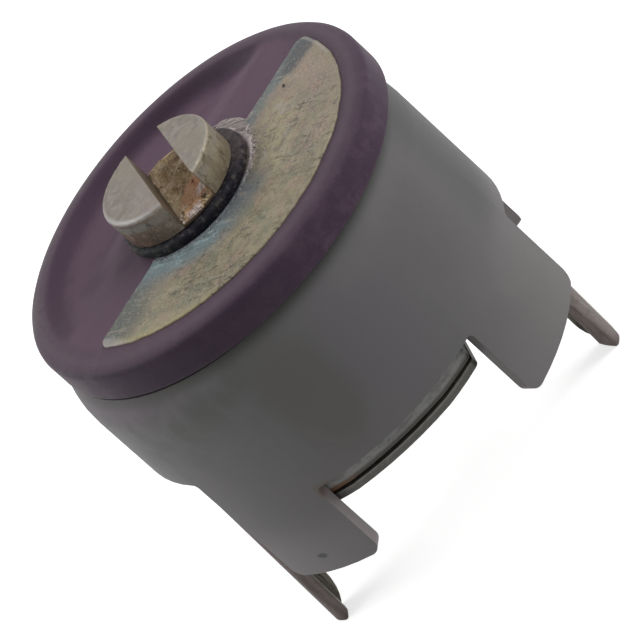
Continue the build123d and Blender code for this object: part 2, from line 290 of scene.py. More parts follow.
class Grower(Tree):
    """A Geometry Nodes tree with named sizes, run once and kept as a plain mesh."""

    def __init__(self, name: str, **sizes: float) -> None:
        """Starts the tree.

        Args:
            name: The piece's plain name.
            sizes: Its named inputs, in millimetres, degrees or counts.
        """
        super().__init__(bpy.data.node_groups.new(name, "GeometryNodeTree"))
        self.name = name
        self.sizes = sizes
        face = self.tree.interface
        kinds = {float: "NodeSocketFloat", int: "NodeSocketInt"}
        self.keys = {
            label: face.new_socket(label, in_out="INPUT", socket_type=kinds[type(value)]).identifier
            for label, value in sizes.items()
        }
        face.new_socket("Geometry", in_out="OUTPUT", socket_type="NodeSocketGeometry")
        self.entry = self.node("NodeGroupInput", {}, {})

    def size(self, label: str) -> Sock:
        """One of the named sizes."""
        return Sock(self, self.entry.outputs[label])

    def where(self) -> bpy.types.NodeSocket:
        """The place of each point."""
        return self.node("GeometryNodeInputPosition", {}, {}).outputs[0]

    def chance(self, low: Any, high: Any, seed: int) -> Sock:
        """A random number for each point, between two ends."""
        made = self.node("FunctionNodeRandomValue", {"data_type": "FLOAT"}, {2: low, 3: high, 8: seed})
        return Sock(self, made.outputs[1])

    def moved(self, geometry: bpy.types.NodeSocket, place: bpy.types.NodeSocket) -> bpy.types.NodeSocket:
        """Puts each point at a new place."""
        sockets = {"Geometry": geometry, "Position": place}
        return self.node("GeometryNodeSetPosition", {}, sockets).outputs[0]

    def shifted(self, geometry: bpy.types.NodeSocket, shift: Sequence[float]) -> bpy.types.NodeSocket:
        """Shifts the whole thing."""
        sockets = {"Geometry": geometry, "Translation": tuple(shift)}
        return self.node("GeometryNodeTransform", {}, sockets).outputs[0]

    def ball(self) -> bpy.types.NodeSocket:
        """A round lump of radius 1, which copies squash."""
        return self.node("GeometryNodeMeshIcoSphere", {}, {"Radius": 1.0, "Subdivisions": 2}).outputs[0]

    def scattered(
        self, points: bpy.types.NodeSocket, thing: bpy.types.NodeSocket, turn: Any, scale: Any
    ) -> bpy.types.NodeSocket:
        """Puts a copy of a thing on each point.

        Args:
            points: The points.
            thing: What is copied.
            turn: Each copy's turn about the upright axis, in radians.
            scale: Each copy's three factors, as a vector.

        Returns:
            The copies.
        """
        rotation = self.joined(0.0, 0.0, turn)
        sockets = {"Points": points, "Instance": thing, "Rotation": rotation, "Scale": scale}
        return self.node("GeometryNodeInstanceOnPoints", {}, sockets).outputs[0]

    def together(self, *things: bpy.types.NodeSocket) -> bpy.types.NodeSocket:
        """Joins several things.

        Args:
            things: The things.

        Returns:
            All of them as one.
        """
        made = self.node("GeometryNodeJoinGeometry", {}, {})
        for thing in reversed(things):
            self.tree.links.new(thing, made.inputs[0])
        return made.outputs[0]

    def grow(self, geometry: bpy.types.NodeSocket, material: bpy.types.Material) -> bpy.types.Object:
        """Ends the tree, runs it once and keeps the result.

        Args:
            geometry: What the tree made.
            material: Its finish.

        Returns:
            The piece in metres, at the origin.
        """
        real = self.node("GeometryNodeRealizeInstances", {}, {0: geometry}).outputs[0]
        dressed = self.node("GeometryNodeSetMaterial", {}, {"Geometry": real, "Material": material})
        self.node("NodeGroupOutput", {}, {0: dressed.outputs[0]})
        empty = bpy.data.meshes.new(f"{self.name}.draft")
        draft = bpy.data.objects.new(f"{self.name}.draft", empty)
        grown = draft.modifiers.new("grown", "NODES")
        grown.node_group = self.tree
        for label, value in self.sizes.items():
            grown[self.keys[label]] = value
        bpy.context.scene.collection.objects.link(draft)
        graph = bpy.context.evaluated_depsgraph_get()
        done = bpy.data.meshes.new_from_object(draft.evaluated_get(graph))
        bpy.data.objects.remove(draft)
        done.transform(Matrix.Scale(MM, 4))
        done.shade_smooth()
        done.set_sharp_from_angle(angle=math.radians(GROWN_SHARP))
        done.name = self.name
        piece = bpy.data.objects.new(self.name, done)
        bpy.context.scene.collection.objects.link(piece)
        return piece


class Shader(Tree):
    """One procedural material while it is being made."""

    def __init__(self, name: str) -> None:
        """Starts an empty material.

        Args:
            name: The finish's plain name.
        """
        self.material = bpy.data.materials.new(name)
        self.material.use_nodes = True
        super().__init__(self.material.node_tree)

    def place(
        self, stretch: Sequence[float] = (1.0, 1.0, 1.0), turn: float = 0.0
    ) -> bpy.types.NodeSocket:
        """The piece's own place in millimetres.

        Args:
            stretch: A factor for each axis, to draw a pattern out.
            turn: A turn about the upright axis, in degrees, before the stretch.

        Returns:
            A vector socket.
        """
        own = self.node("ShaderNodeTexCoord", {}, {}).outputs["Object"]
        sockets = {"Vector": own, "Scale": (1.0 / MM,) * 3, "Rotation": (0.0, 0.0, math.radians(turn))}
        turned = self.node("ShaderNodeMapping", {"vector_type": "POINT"}, sockets).outputs[0]
        sockets = {0: turned, 1: tuple(stretch)}
        return self.node("ShaderNodeVectorMath", {"operation": "MULTIPLY"}, sockets).outputs[0]

    def normal_parts(self) -> tuple[Sock, Sock, Sock]:
        """The three shares of the face's own direction."""
        return self.parts(self.node("ShaderNodeTexCoord", {}, {}).outputs["Normal"])

    def spot(
        self,
        across: Sock,
        along: Sock,
        centre: tuple[float, float],
        reach: tuple[float, float],
        rag: Any,
    ) -> Sock:
        """A soft round patch.

        Args:
            across: The first coordinate.
            along: The second coordinate.
            centre: Where the patch is, in both coordinates.
            reach: How far it goes, in both coordinates.
            rag: What makes its edge uneven, about 0.

        Returns:
            A mask that is 1 in the middle.
        """
        first = (across - centre[0]) / reach[0]
        second = (along - centre[1]) / reach[1]
        return ((first * first + second * second).root() + rag).step(1.1, 0.45)

    def mix(self, mask: Any, first: Any, second: Any) -> bpy.types.NodeSocket:
        """Blends two colours: the first where the mask is 0, the second where it is 1."""
        settings = {"data_type": "RGBA", "clamp_factor": True}
        return self.node("ShaderNodeMix", settings, {0: mask, 6: first, 7: second}).outputs[2]

    def layers(self, base: Any, *coats: tuple[Any, Any]) -> Any:
        """Lays colours over a base.

        Args:
            base: The first colour.
            coats: A mask and a colour each, the last on top.

        Returns:
            The colour that shows.
        """
        for mask, colour in coats:
            base = self.mix(mask, base, colour)
        return base

    def bump(self, height: Sock, depth: float, under: Any = None) -> bpy.types.NodeSocket:
        """Relief from a height.

        Args:
            height: The relief, from 0 to 1.
            depth: What 1 stands for, in millimetres.
            under: The direction that a coarser relief gives, if any.

        Returns:
            The direction for the shader.
        """
        sockets = {"Height": height, "Distance": depth * MM, "Strength": 1.0}
        if under is not None:
            sockets["Normal"] = under
        return self.node("ShaderNodeBump", {}, sockets).outputs[0]

    def close(
        self,
        colour: Any,
        roughness: Any,
        normal: bpy.types.NodeSocket,
        metallic: Any = 0.0,
        specular: float = 0.5,
    ) -> bpy.types.Material:
        """Ends the material in one surface shader.

        Args:
            colour: Its colour.
            roughness: Its roughness.
            normal: Its relief.
            metallic: How far it is bare metal.
            specular: Its plain gloss level.

        Returns:
            The material.
        """
        sockets = {
            "Base Color": colour,
            "Roughness": roughness,
            "Metallic": metallic,
            "Normal": normal,
            "Specular IOR Level": specular,
        }
        surface = self.node("ShaderNodeBsdfPrincipled", {}, sockets)
        self.node("ShaderNodeOutputMaterial", {}, {"Surface": surface.outputs[0]})
        return self.material


@dataclass(frozen=True)
class MouldedGrey:
    """The housing's matte moulded plastic: painted shadow under the disc and painted shade at the far
    right, darker in patches at the upper left, and painted light on its cut faces, edge rounds and feet.
    """

    axis_x: float = HOUSING_X
    top_z: float = HOUSING_TOP
    base: Colour = tone(0.116, 0.112, 0.114)
    warm: Colour = tone(0.150, 0.140, 0.142)
    dark_patch: Colour = tone(0.070, 0.073, 0.066)
    violet: Colour = tone(0.125, 0.100, 0.125)
    # pale colour laid as painted light on the cut faces, and also on the down-facing bottoms of the feet
    worn: Colour = tone(0.300, 0.262, 0.262)
    mark: tuple[float, float] = (-3.64, 0.52)
    rust: tuple[float, float] = (-2.35, 2.16)

    def make(self) -> bpy.types.Material:
        """Makes the material.

        Returns:
            The finish for the piece.
        """
        shader = Shader("moulded_grey")
        place = shader.place()
        x, y, z = shader.parts(place)
        side_x, side_y, side_z = shader.normal_parts()
        across = x - self.axis_x
        around = (across * across + y * y).root()
        outward = abs((across * side_x + y * side_y) / around)
        cut = outward.step(0.80, 0.45) * abs(side_z).step(0.80, 0.45)
        under = (-side_z).step(0.55, 0.95) * z.step(0.30, 0.10)
        # painted highlight: faces turned from straight out, the edge rounds of the lower skirt and feet
        corner = outward.step(0.97, 0.80) * z.step(2.6, 2.2)
        broad = shader.clouds(place, 0.35, detail=2.0, seed=1.0)
        soft = shader.clouds(place, 0.8, detail=3.0, seed=5.0, rough=0.6, twist=0.4)
        fine = shader.clouds(place, 9.0, detail=4.0, seed=2.0, rough=0.65)
        grain = shader.clouds(place, 38.0, detail=2.0, seed=6.0, rough=0.6)
        # darker in patches at the front upper left
        left = (-x).step(-0.8, 3.2) * z.step(3.2, 5.9) * (-y).step(-1.0, 1.0)
        # painted light: the lower right of the skirt
        right = x.step(1.5, 4.6) * z.step(3.4, 0.2)
        shoulder = z.step(self.top_z - 1.0, self.top_z - 0.25) * (-x).step(2.0, 4.4)
        rag = (soft - 0.5) * 1.2
        near = (-y).step(0.0, 2.0)
        shade = shader.spot(x, z, (3.25, 4.5), (1.05, 1.5), rag) * near
        # painted shade: the upper far right of the skirt made darker
        far_right_shade = x.step(4.0, 4.6) * z.step(2.4, 3.4)
        # painted shadow: the top of the skirt just under the disc's rim made darker
        disc_shadow = z.step(self.top_z - 0.37, self.top_z - 0.03) * (-y).step(-2.0, 2.0)
        rust = abs(x - self.rust[0]).step(0.34, 0.10) * abs(z - self.rust[1]).step(0.30, 0.05)
        rust = rust * (-y).step(2.0, 3.0)
        olive = shader.spot(x, z, (-0.95, 4.3), (1.15, 2.2), rag) * near
        mauve = shader.spot(x, z, (0.95, 4.3), (1.25, 2.0), rag) * near
        cool = shader.spot(x, z, (-2.7, 4.2), (1.2, 1.7), rag) * near
        # painted light: a paler patch low on the right foot
        light = shader.spot(x, z, (4.2, 1.9), (1.0, 0.9), rag)
        mark = shader.spot(x, z, self.mark, (0.13, 0.10), (fine - 0.5) * 0.8) * near
        colour = shader.layers(
            self.base,
            (broad.step(0.38, 0.72) * 0.35, self.warm),
            # painted light: the lower right, the feet and most of all the left foot made paler
            (right * 0.75, tone(0.168, 0.154, 0.154)),
            (z.step(2.0, 0.2) * 0.45, tone(0.168, 0.160, 0.160)),
            (z.step(2.0, 0.6) * x.step(0.0, -2.0) * 0.5, tone(0.170, 0.158, 0.160)),
            (left * soft.step(0.36, 0.62) * 0.75, self.dark_patch),
            (shoulder * 0.55, self.violet),
            (fine.step(0.60, 0.76) * 0.16, grey(0.060)),
            (grain.step(0.58, 0.70) * 0.10, grey(0.200)),
            (cool * 0.6, tone(0.118, 0.122, 0.120)),
            (olive * 0.70, tone(0.093, 0.090, 0.083)),
            (mauve * 0.55, tone(0.118, 0.108, 0.122)),
            (shade * 0.65, tone(0.112, 0.105, 0.104)),
            (far_right_shade * 0.75, tone(0.072, 0.070, 0.071)),
            (light * 0.35, tone(0.176, 0.166, 0.164)),
            (disc_shadow * 0.80, tone(0.060, 0.061, 0.056)),
            (corner * 0.35, tone(0.190, 0.172, 0.172)),
            # painted light: the cut faces made paler, the left foot's much more than the right's
            (cut * x.step(1.5, -1.0) * 0.70, self.worn),
            (cut * x.step(-1.0, 1.5) * 0.22, self.worn),
            (under * 0.6, self.worn),
            (rust * 0.7, tone(0.105, 0.070, 0.050)),
            (mark * 0.8, tone(0.040, 0.044, 0.048)),
        )
        roughness = 0.50 + fine * 0.12 + broad * 0.06
        relief = shader.bump(soft, 0.02)
        relief = shader.bump(fine, 0.004, relief)
        relief = shader.bump(grain, 0.0015, relief)
        return shader.close(colour, roughness, relief, specular=0.25)


@dataclass(frozen=True)
class PaleCeramic:
    """The stator's light grey ceramic, with painted shade in the gap just above the contact strip."""

    base: Colour = tone(0.270, 0.268, 0.262)
    strip_z: float = 1.71

    def make(self) -> bpy.types.Material:
        """Makes the material.

        Returns:
            The finish for the piece.
        """
        shader = Shader("pale_ceramic")
        place = shader.place()
        x, _, z = shader.parts(place)
        grain = shader.clouds(place, 14.0, detail=4.0, seed=3.0, rough=0.7)
        broad = shader.clouds(place, 0.9, detail=3.0, seed=4.0)
        blot = shader.clouds(shader.place((1.0, 1.0, 2.4)), 3.2, detail=4.0, seed=7.0, rough=0.65)
        # painted shade: a dark band where the ceramic meets the contact strip, browner at the left and
        # olive at the right
        lower = (z + (blot - 0.5) * 0.10).step(self.strip_z + 0.15, self.strip_z + 0.06)
        colour = shader.layers(
            self.base,
            (broad.step(0.45, 0.70) * 0.4, tone(0.165, 0.160, 0.150)),
            (blot.step(0.47, 0.60) * 0.6, tone(0.120, 0.118, 0.112)),
            (grain.step(0.60, 0.72) * 0.35, tone(0.100, 0.090, 0.076)),
            (lower * 0.85, tone(0.040, 0.034, 0.026)),
            (lower * x.step(-1.4, -2.2) * 0.8, tone(0.150, 0.070, 0.030)),
            (lower * x.step(1.6, 2.2) * 0.7, tone(0.060, 0.060, 0.036)),
        )
        return shader.close(colour, 0.50 + grain * 0.2, shader.bump(grain, 0.010), specular=0.3)


@dataclass(frozen=True)
class VioletCeramic:
    """The rotor's violet ceramic: mottled mauve, with painted shade on its side wall and in the pocket's
    far corner, and a painted highlight along its rounded rim.
    """

    axis_x: float = ROTOR_X
    top_z: float = FILM_BASE
    film_angle: float = FILM_ANGLE
    top: Colour = tone(0.092, 0.055, 0.081)
    ring: Colour = tone(0.073, 0.046, 0.066)
    # painted shade: the side wall's colour, darker than the top's
    edge: Colour = tone(0.047, 0.026, 0.047)
    rim_highlight: Colour = tone(0.076, 0.053, 0.071)
    # dark colour for the painted shade in the pocket's far corner, also used for darker smears and patches
    deep: Colour = tone(0.046, 0.026, 0.044)

    def make(self) -> bpy.types.Material:
        """Makes the material.

        Returns:
            The finish for the piece.
        """
        shader = Shader("violet_ceramic")
        place = shader.place()
        x, y, z = shader.parts(place)
        x = x - self.axis_x
        along, behind = film_axes(x, y, self.film_angle)
        upward = shader.normal_parts()[2]
        around = (x * x + y * y).root()
        broad = shader.clouds(place, 0.5, detail=3.0, seed=11.0)
        mottle = shader.clouds(place, 2.4, detail=5.0, seed=12.0, rough=0.62, twist=0.3)
        fine = shader.clouds(place, 15.0, detail=4.0, seed=13.0, rough=0.7)
        grain = shader.clouds(place, 42.0, detail=2.0, seed=14.0, rough=0.6)
        # painted shade: faces turned from upright take the side wall's darker colour
        side = upward.step(0.96, 0.50)
        left_side_shade = (-x).step(-2.6, 2.4) * (-y).step(-0.6, 2.0)
        wall = around + (broad - 0.5) * 0.5
        # painted shade: the pocket's far corner, deepest towards the right
        corner = wall.step(3.55, 4.25) * around.step(4.50, 4.30) * behind.step(1.0, 1.5)
        sunk = z.step(self.top_z - 0.07, self.top_z - 0.23)
        smear = mottle.step(0.52, 0.66) * sunk * (-along).step(0.4, 2.0)
        rag = (mottle - 0.5) * 2.5
        dark_patch = shader.spot(x, y, (-3.0, 0.55), (0.55, 0.40), rag).greater(
            shader.spot(x, y, (-2.15, -0.10), (0.40, 0.35), rag)
        )
        scuffs = shader.spot(along, behind, (4.10, -0.15), (0.75, 0.35), (fine - 0.5) * 3.0)
        worn_edge = around.step(4.35, 4.65) * upward.step(0.30, 0.70)
        worn = worn_edge * (-x).step(0.4, 2.4) * y.step(-0.6, 1.2) * mottle.step(0.44, 0.56)
        dull = behind.step(-0.6, 0.4) * (-x).step(0.4, 2.2) * around.step(4.4, 4.0)
        # painted light: the side wall paler at its far left end
        left_end_light = side * (-x).step(3.7, 4.9)
        # painted highlight: a lighter band where the top starts to round over at the edge
        rim_sheen = upward.step(0.90, 0.96) * upward.step(0.999, 0.985) * around.step(4.40, 4.50)
        colour = shader.layers(
            self.top,
            (around.step(4.15, 4.50), self.ring),
            (around.step(4.15, 4.50) * x.step(1.0, 4.0) * 0.45, tone(0.060, 0.040, 0.053)),
            (side, self.edge),
            # painted highlight on the upper part of the rounded rim
            (upward.step(0.80, 0.95) * around.step(4.42, 4.60) * 0.5, self.rim_highlight),
            (mottle.step(0.42, 0.72) * 0.40, tone(0.112, 0.078, 0.100)),
            (dull * 0.35, tone(0.064, 0.036, 0.056)),
            (broad.step(0.52, 0.70) * 0.40, tone(0.066, 0.040, 0.064)),
            (corner * 0.70, self.deep),
            (corner * along.step(0.5, 3.0) * 0.55, tone(0.030, 0.017, 0.030)),
            (smear * 0.35, self.deep),
            (dark_patch * 0.45, self.deep),
            (scuffs * fine.step(0.52, 0.60) * 0.7, tone(0.036, 0.030, 0.036)),
            # painted shade: the side darkest towards the front left
            (side * left_side_shade * 0.60, tone(0.020, 0.013, 0.021)),
            (rim_sheen * 0.30, tone(0.110, 0.082, 0.104)),
            (worn * 0.55, tone(0.094, 0.082, 0.086)),
            (left_end_light * (0.30 + mottle.step(0.44, 0.58) * 0.4), tone(0.100, 0.078, 0.094)),
            (fine.step(0.62, 0.75) * 0.28, tone(0.165, 0.130, 0.148)),
            (fine.step(0.38, 0.27) * 0.35, tone(0.038, 0.022, 0.036)),
            (grain.step(0.60, 0.70) * 0.16, tone(0.190, 0.160, 0.175)),
        )
        roughness = 0.50 + mottle * 0.16
        relief = shader.bump(mottle, 0.014)
        relief = shader.bump(fine, 0.006, relief)
        relief = shader.bump(grain, 0.0015, relief)
        return shader.close(colour, roughness, relief, specular=0.14)


@dataclass(frozen=True)
class TarnishedFilm:
    """The rotor's fired silver film: gold and cream, bluish along the straight edge, full of specks."""

    axis_x: float = ROTOR_X
    film_angle: float = FILM_ANGLE
    setback: float = FILM_SETBACK
    gold: Colour = tone(0.200, 0.168, 0.112)
    cream: Colour = tone(0.285, 0.245, 0.165)
    rose: Colour = tone(0.270, 0.212, 0.182)
    blue: Colour = tone(0.118, 0.142, 0.152)
    dot: tuple[float, float] = (3.14, 0.34)
    stain: tuple[float, float] = (3.92, 0.45)

    def make(self) -> bpy.types.Material:
        """Makes the material.

        Returns:
            The finish for the piece.
        """
        shader = Shader("tarnished_film")
        place = shader.place()
        x, y, _ = shader.parts(place)
        x = x - self.axis_x
        along, behind = film_axes(x, y, self.film_angle)
        depth = -behind - self.setback
        around = (x * x + y * y).root()
        broad = shader.clouds(place, 0.8, detail=4.0, seed=21.0)
        mottle = shader.clouds(place, 3.0, detail=5.0, seed=22.0, rough=0.68, twist=0.5)
        patch = shader.clouds(place, 1.5, detail=4.0, seed=26.0, rough=0.6, twist=0.8)
        tint = shader.clouds(place, 2.1, detail=4.0, seed=28.0, rough=0.6, twist=0.4)
        fine = shader.clouds(place, 12.0, detail=4.0, seed=23.0, rough=0.72)
        grain = shader.clouds(place, 34.0, detail=2.0, seed=27.0, rough=0.6)
        falling, rising, pale_run = (
            shader.clouds(shader.place(stretch, turn=slant), 1.0, detail=3.0, seed=seed, rough=0.6)
            for stretch, slant, seed in (
                ((2.6, 12.0, 1.0), 42.0, 24.0),
                ((2.6, 13.0, 1.0), -38.0, 25.0),
                ((1.3, 7.0, 1.0), 52.0, 29.0),
            )
        )
        wander = (broad - 0.5) * 1.2
        straight = (depth + wander * 0.5 + (mottle - 0.5) * 0.5).step(0.66, 0.20)
        pool = (around + wander * 0.8).step(3.05, 2.25) * along.step(1.15, 0.1)
        pale_pool = (around + wander * 0.5).step(2.85, 2.20)
        pale_pool = pale_pool * along.step(-0.45, -1.3) * along.step(-2.9, -2.2)
        arc = (around + wander * 0.15).step(4.05, 4.38)
        right = (along + wander).step(0.6, 2.8)
        left = (-along).step(2.0, 3.4)
        tip = (-along + (mottle - 0.5) * 0.4).step(3.98, 4.16)
        pad = depth.step(0.25, -0.10) * along.step(0.3, 1.0) * around.step(2.6, 2.2)
        warm_pool = (around + wander * 0.5).step(3.5, 2.7) * along.step(0.2, 1.0) * depth.step(0.5, 1.1)
        edge_line = around.step(4.32, 4.355) * around.step(4.42, 4.39)
        edge_line = edge_line * along.step(3.0, 3.5) * depth.step(1.9, 1.2)
        left_end = left * depth.step(1.25, 0.6) * (-along).step(4.05, 3.95)
        stain_x = along - self.stain[0]
        stain_y = depth - self.stain[1]
        stain = (stain_x * stain_x * 0.45 + stain_y * stain_y * 2.4).root() + (mottle - 0.5) * 0.5
        dot_x = x - self.dot[0]
        dot_y = y - self.dot[1]
        dot = (dot_x * dot_x + dot_y * dot_y * 0.25).root() + (fine - 0.5) * 0.04
        crowd_left = abs(along + 1.9).step(2.0, 0.6) * depth.step(0.9, 1.7)
        crowd_right = abs(along - 1.9).step(1.9, 0.5) * depth.step(0.8, 1.6)
        crowd = crowd_left.greater(crowd_right) * patch.step(0.38, 0.52)
        colour = shader.layers(
            self.gold,
            (mottle.step(0.42, 0.60) * 0.75, self.cream),
            (mottle.step(0.47, 0.36) * 0.60, tone(0.135, 0.116, 0.084)),
            (tint.step(0.51, 0.60) * 0.55, tone(0.160, 0.180, 0.125)),
            (tint.step(0.47, 0.39) * 0.50, tone(0.290, 0.205, 0.165)),
            (right * patch.step(0.34, 0.54) * 0.75, self.rose),
            (arc * 0.45, tone(0.240, 0.208, 0.136)),
            (left * depth.step(1.3, 0.6) * 0.75, tone(0.112, 0.118, 0.100)),
            (left * arc * 0.75, tone(0.300, 0.262, 0.142)),
            (warm_pool * mottle.step(0.44, 0.56) * 0.8, tone(0.345, 0.298, 0.180)),
            (warm_pool * tint.step(0.52, 0.60) * 0.5, tone(0.340, 0.300, 0.290)),
            (right * patch.step(0.52, 0.60) * (1.0 - arc) * 0.5, tone(0.330, 0.222, 0.160)),
            (straight * 0.90, self.blue),
            (straight * tint.step(0.46, 0.58) * 0.6, tone(0.120, 0.150, 0.128)),
            (straight * patch.step(0.50, 0.62) * 0.6, tone(0.078, 0.088, 0.096)),
            (pool * 0.90, tone(0.112, 0.132, 0.150)),
            (pool * mottle.step(0.50, 0.62) * 0.5, tone(0.085, 0.094, 0.110)),
            (pale_pool * 0.85, tone(0.180, 0.255, 0.272)),
            (pale_pool * pale_run.step(0.50, 0.55) * 0.8, tone(0.290, 0.390, 0.400)),
            (pale_pool * falling.step(0.50, 0.56) * 0.5, tone(0.120, 0.160, 0.185)),
            (left * straight * 0.55, tone(0.092, 0.106, 0.100)),
            (left_end * 0.7, tone(0.078, 0.084, 0.072)),
            (stain.step(0.66, 0.30) * 0.9, tone(0.062, 0.066, 0.074)),
            (pad * 0.9, tone(0.150, 0.120, 0.128)),
            (pad * pale_run.step(0.44, 0.56) * 0.8, tone(0.340, 0.300, 0.290)),
            (pad * mottle.step(0.50, 0.60) * 0.5, tone(0.120, 0.098, 0.106)),
            (tip * 0.80, tone(0.280, 0.260, 0.238)),
            (edge_line * 0.45, tone(0.340, 0.325, 0.305)),
            (pale_run.step(0.57, 0.63) * 0.35, tone(0.330, 0.290, 0.225)),
            (falling.step(0.555, 0.595) * crowd * 0.80, tone(0.066, 0.060, 0.044)),
            (rising.step(0.565, 0.605) * crowd * 0.65, tone(0.085, 0.082, 0.066)),
            (fine.step(0.575, 0.625) * patch.step(0.40, 0.56) * 0.75, tone(0.066, 0.060, 0.048)),
            (fine.step(0.435, 0.385) * 0.40, tone(0.370, 0.330, 0.262)),
            (grain.step(0.56, 0.66) * 0.30, tone(0.390, 0.345, 0.275)),
            (grain.step(0.44, 0.34) * 0.35, tone(0.070, 0.062, 0.050)),
            (dot.step(0.050, 0.034), tone(0.010, 0.009, 0.010)),
        )
        roughness = 0.42 + mottle * 0.24
        relief = shader.bump(mottle, 0.030)
        relief = shader.bump(fine, 0.012, relief)
        relief = shader.bump(grain, 0.003, relief)
        return shader.close(colour, roughness, relief, metallic=0.35, specular=0.35)


@dataclass(frozen=True)
class PlainMetal:
    """A plain worn metal: two colours that drift into each other, with streaks and specks."""

    name: str
    base: Colour
    drift: Colour
    speck: Colour
    cloud_scale: float = 2.0
    roughness: float = 0.40
    metallic: float = 0.8
    relief: float = 0.008

    def make(self) -> bpy.types.Material:
        """Makes the material.

        Returns:
            The finish for the piece.
        """
        shader = Shader(self.name)
        place = shader.place()
        broad = shader.clouds(place, self.cloud_scale, detail=4.0, seed=31.0)
        fine = shader.clouds(place, self.cloud_scale * 8.0, detail=4.0, seed=32.0, rough=0.65)
        colour = shader.layers(
            self.base,
            (broad.step(0.38, 0.66), self.drift),
            (fine.step(0.60, 0.72) * 0.6, self.speck),
        )
        roughness = self.roughness - 0.06 + broad * 0.14 + fine * 0.06
        relief = shader.bump(broad, self.relief * 2.0)
        relief = shader.bump(fine, self.relief, relief)
        return shader.close(colour, roughness, relief, metallic=self.metallic)


SILVER = PlainMetal(
    "fired_silver",
    base=tone(0.52, 0.51, 0.48),
    drift=tone(0.40, 0.38, 0.34),
    speck=grey(0.18),
    roughness=0.5,
    metallic=0.6,
)
BARE_BRONZE = PlainMetal(
    "bare_bronze",
    base=tone(0.40, 0.27, 0.14),
    drift=tone(0.28, 0.18, 0.09),
    speck=tone(0.10, 0.06, 0.03),
    roughness=0.38,
)
TINNED_BRASS = PlainMetal(
    "tinned_brass",
    base=tone(0.30, 0.26, 0.22),
    drift=tone(0.20, 0.16, 0.12),
    speck=tone(0.07, 0.05, 0.04),
    roughness=0.42,
)


@dataclass(frozen=True)
class FringeSolder:
    """The solder round the washer: pinkish white on the right, thin and bluish at the front and left."""

    axis_x: float = ROTOR_X

    def make(self) -> bpy.types.Material:
        """Makes the material.

        Returns:
            The finish for the piece.
        """
        shader = Shader("fringe_solder")
        place = shader.place()
        x, y, _ = shader.parts(place)
        x = x - self.axis_x
        broad = shader.clouds(place, 2.2, detail=4.0, seed=61.0)
        fine = shader.clouds(place, 16.0, detail=4.0, seed=62.0, rough=0.7)
        front = (x + y * 0.8).step(0.9, -0.7)
        colour = shader.layers(
            tone(0.360, 0.310, 0.305),
            (broad.step(0.46, 0.64) * 0.7, tone(0.205, 0.168, 0.170)),
            (front, tone(0.160, 0.178, 0.196)),
            (front * broad.step(0.48, 0.60) * 0.7, tone(0.100, 0.116, 0.132)),
            (fine.step(0.56, 0.66) * 0.6, tone(0.085, 0.074, 0.078)),
            (fine.step(0.44, 0.36) * 0.5, tone(0.420, 0.385, 0.370)),
        )
        relief = shader.bump(fine, 0.006, shader.bump(broad, 0.02))
        return shader.close(colour, 0.42 + fine * 0.16, relief, metallic=0.45, specular=0.4)


@dataclass(frozen=True)
class OxidisedRing:
    """The contact washer: blue-black at the front, mottled brown-grey towards the right, with painted light
    on its top faces there.
    """

    axis_x: float = ROTOR_X

    def make(self) -> bpy.types.Material:
        """Makes the material.

        Returns:
            The finish for the piece.
        """
        shader = Shader("oxidised_ring")
        place = shader.place()
        x, y, _ = shader.parts(place)
        x = x - self.axis_x
        upward = shader.normal_parts()[2]
        broad = shader.clouds(place, 1.6, detail=4.0, seed=64.0)
        mottle = shader.clouds(place, 6.0, detail=5.0, seed=65.0, rough=0.7)
        fine = shader.clouds(place, 24.0, detail=3.0, seed=66.0, rough=0.65)
        right = (x + y * 0.35).step(0.3, 1.5)
        left = (-x).step(0.6, 1.5)
        colour = shader.layers(
            tone(0.009, 0.009, 0.014),
            (broad.step(0.48, 0.62) * 0.7, tone(0.018, 0.016, 0.017)),
            (right * 0.85, tone(0.050, 0.037, 0.041)),
            (left * 0.6, tone(0.018, 0.021, 0.018)),
            (mottle.step(0.52, 0.60) * (0.45 + right * 0.45), tone(0.092, 0.080, 0.072)),
            (mottle.step(0.48, 0.42) * 0.8, tone(0.006, 0.006, 0.010)),
            # painted light: top faces on the right made paler
            (upward.step(0.7, 0.95) * right * 0.45, tone(0.080, 0.062, 0.064)),
            (fine.step(0.60, 0.70) * 0.35, tone(0.120, 0.104, 0.092)),
        )
        relief = shader.bump(fine, 0.008, shader.bump(mottle, 0.045))
        return shader.close(colour, 0.50 + mottle * 0.15, relief, metallic=0.2, specular=0.12)


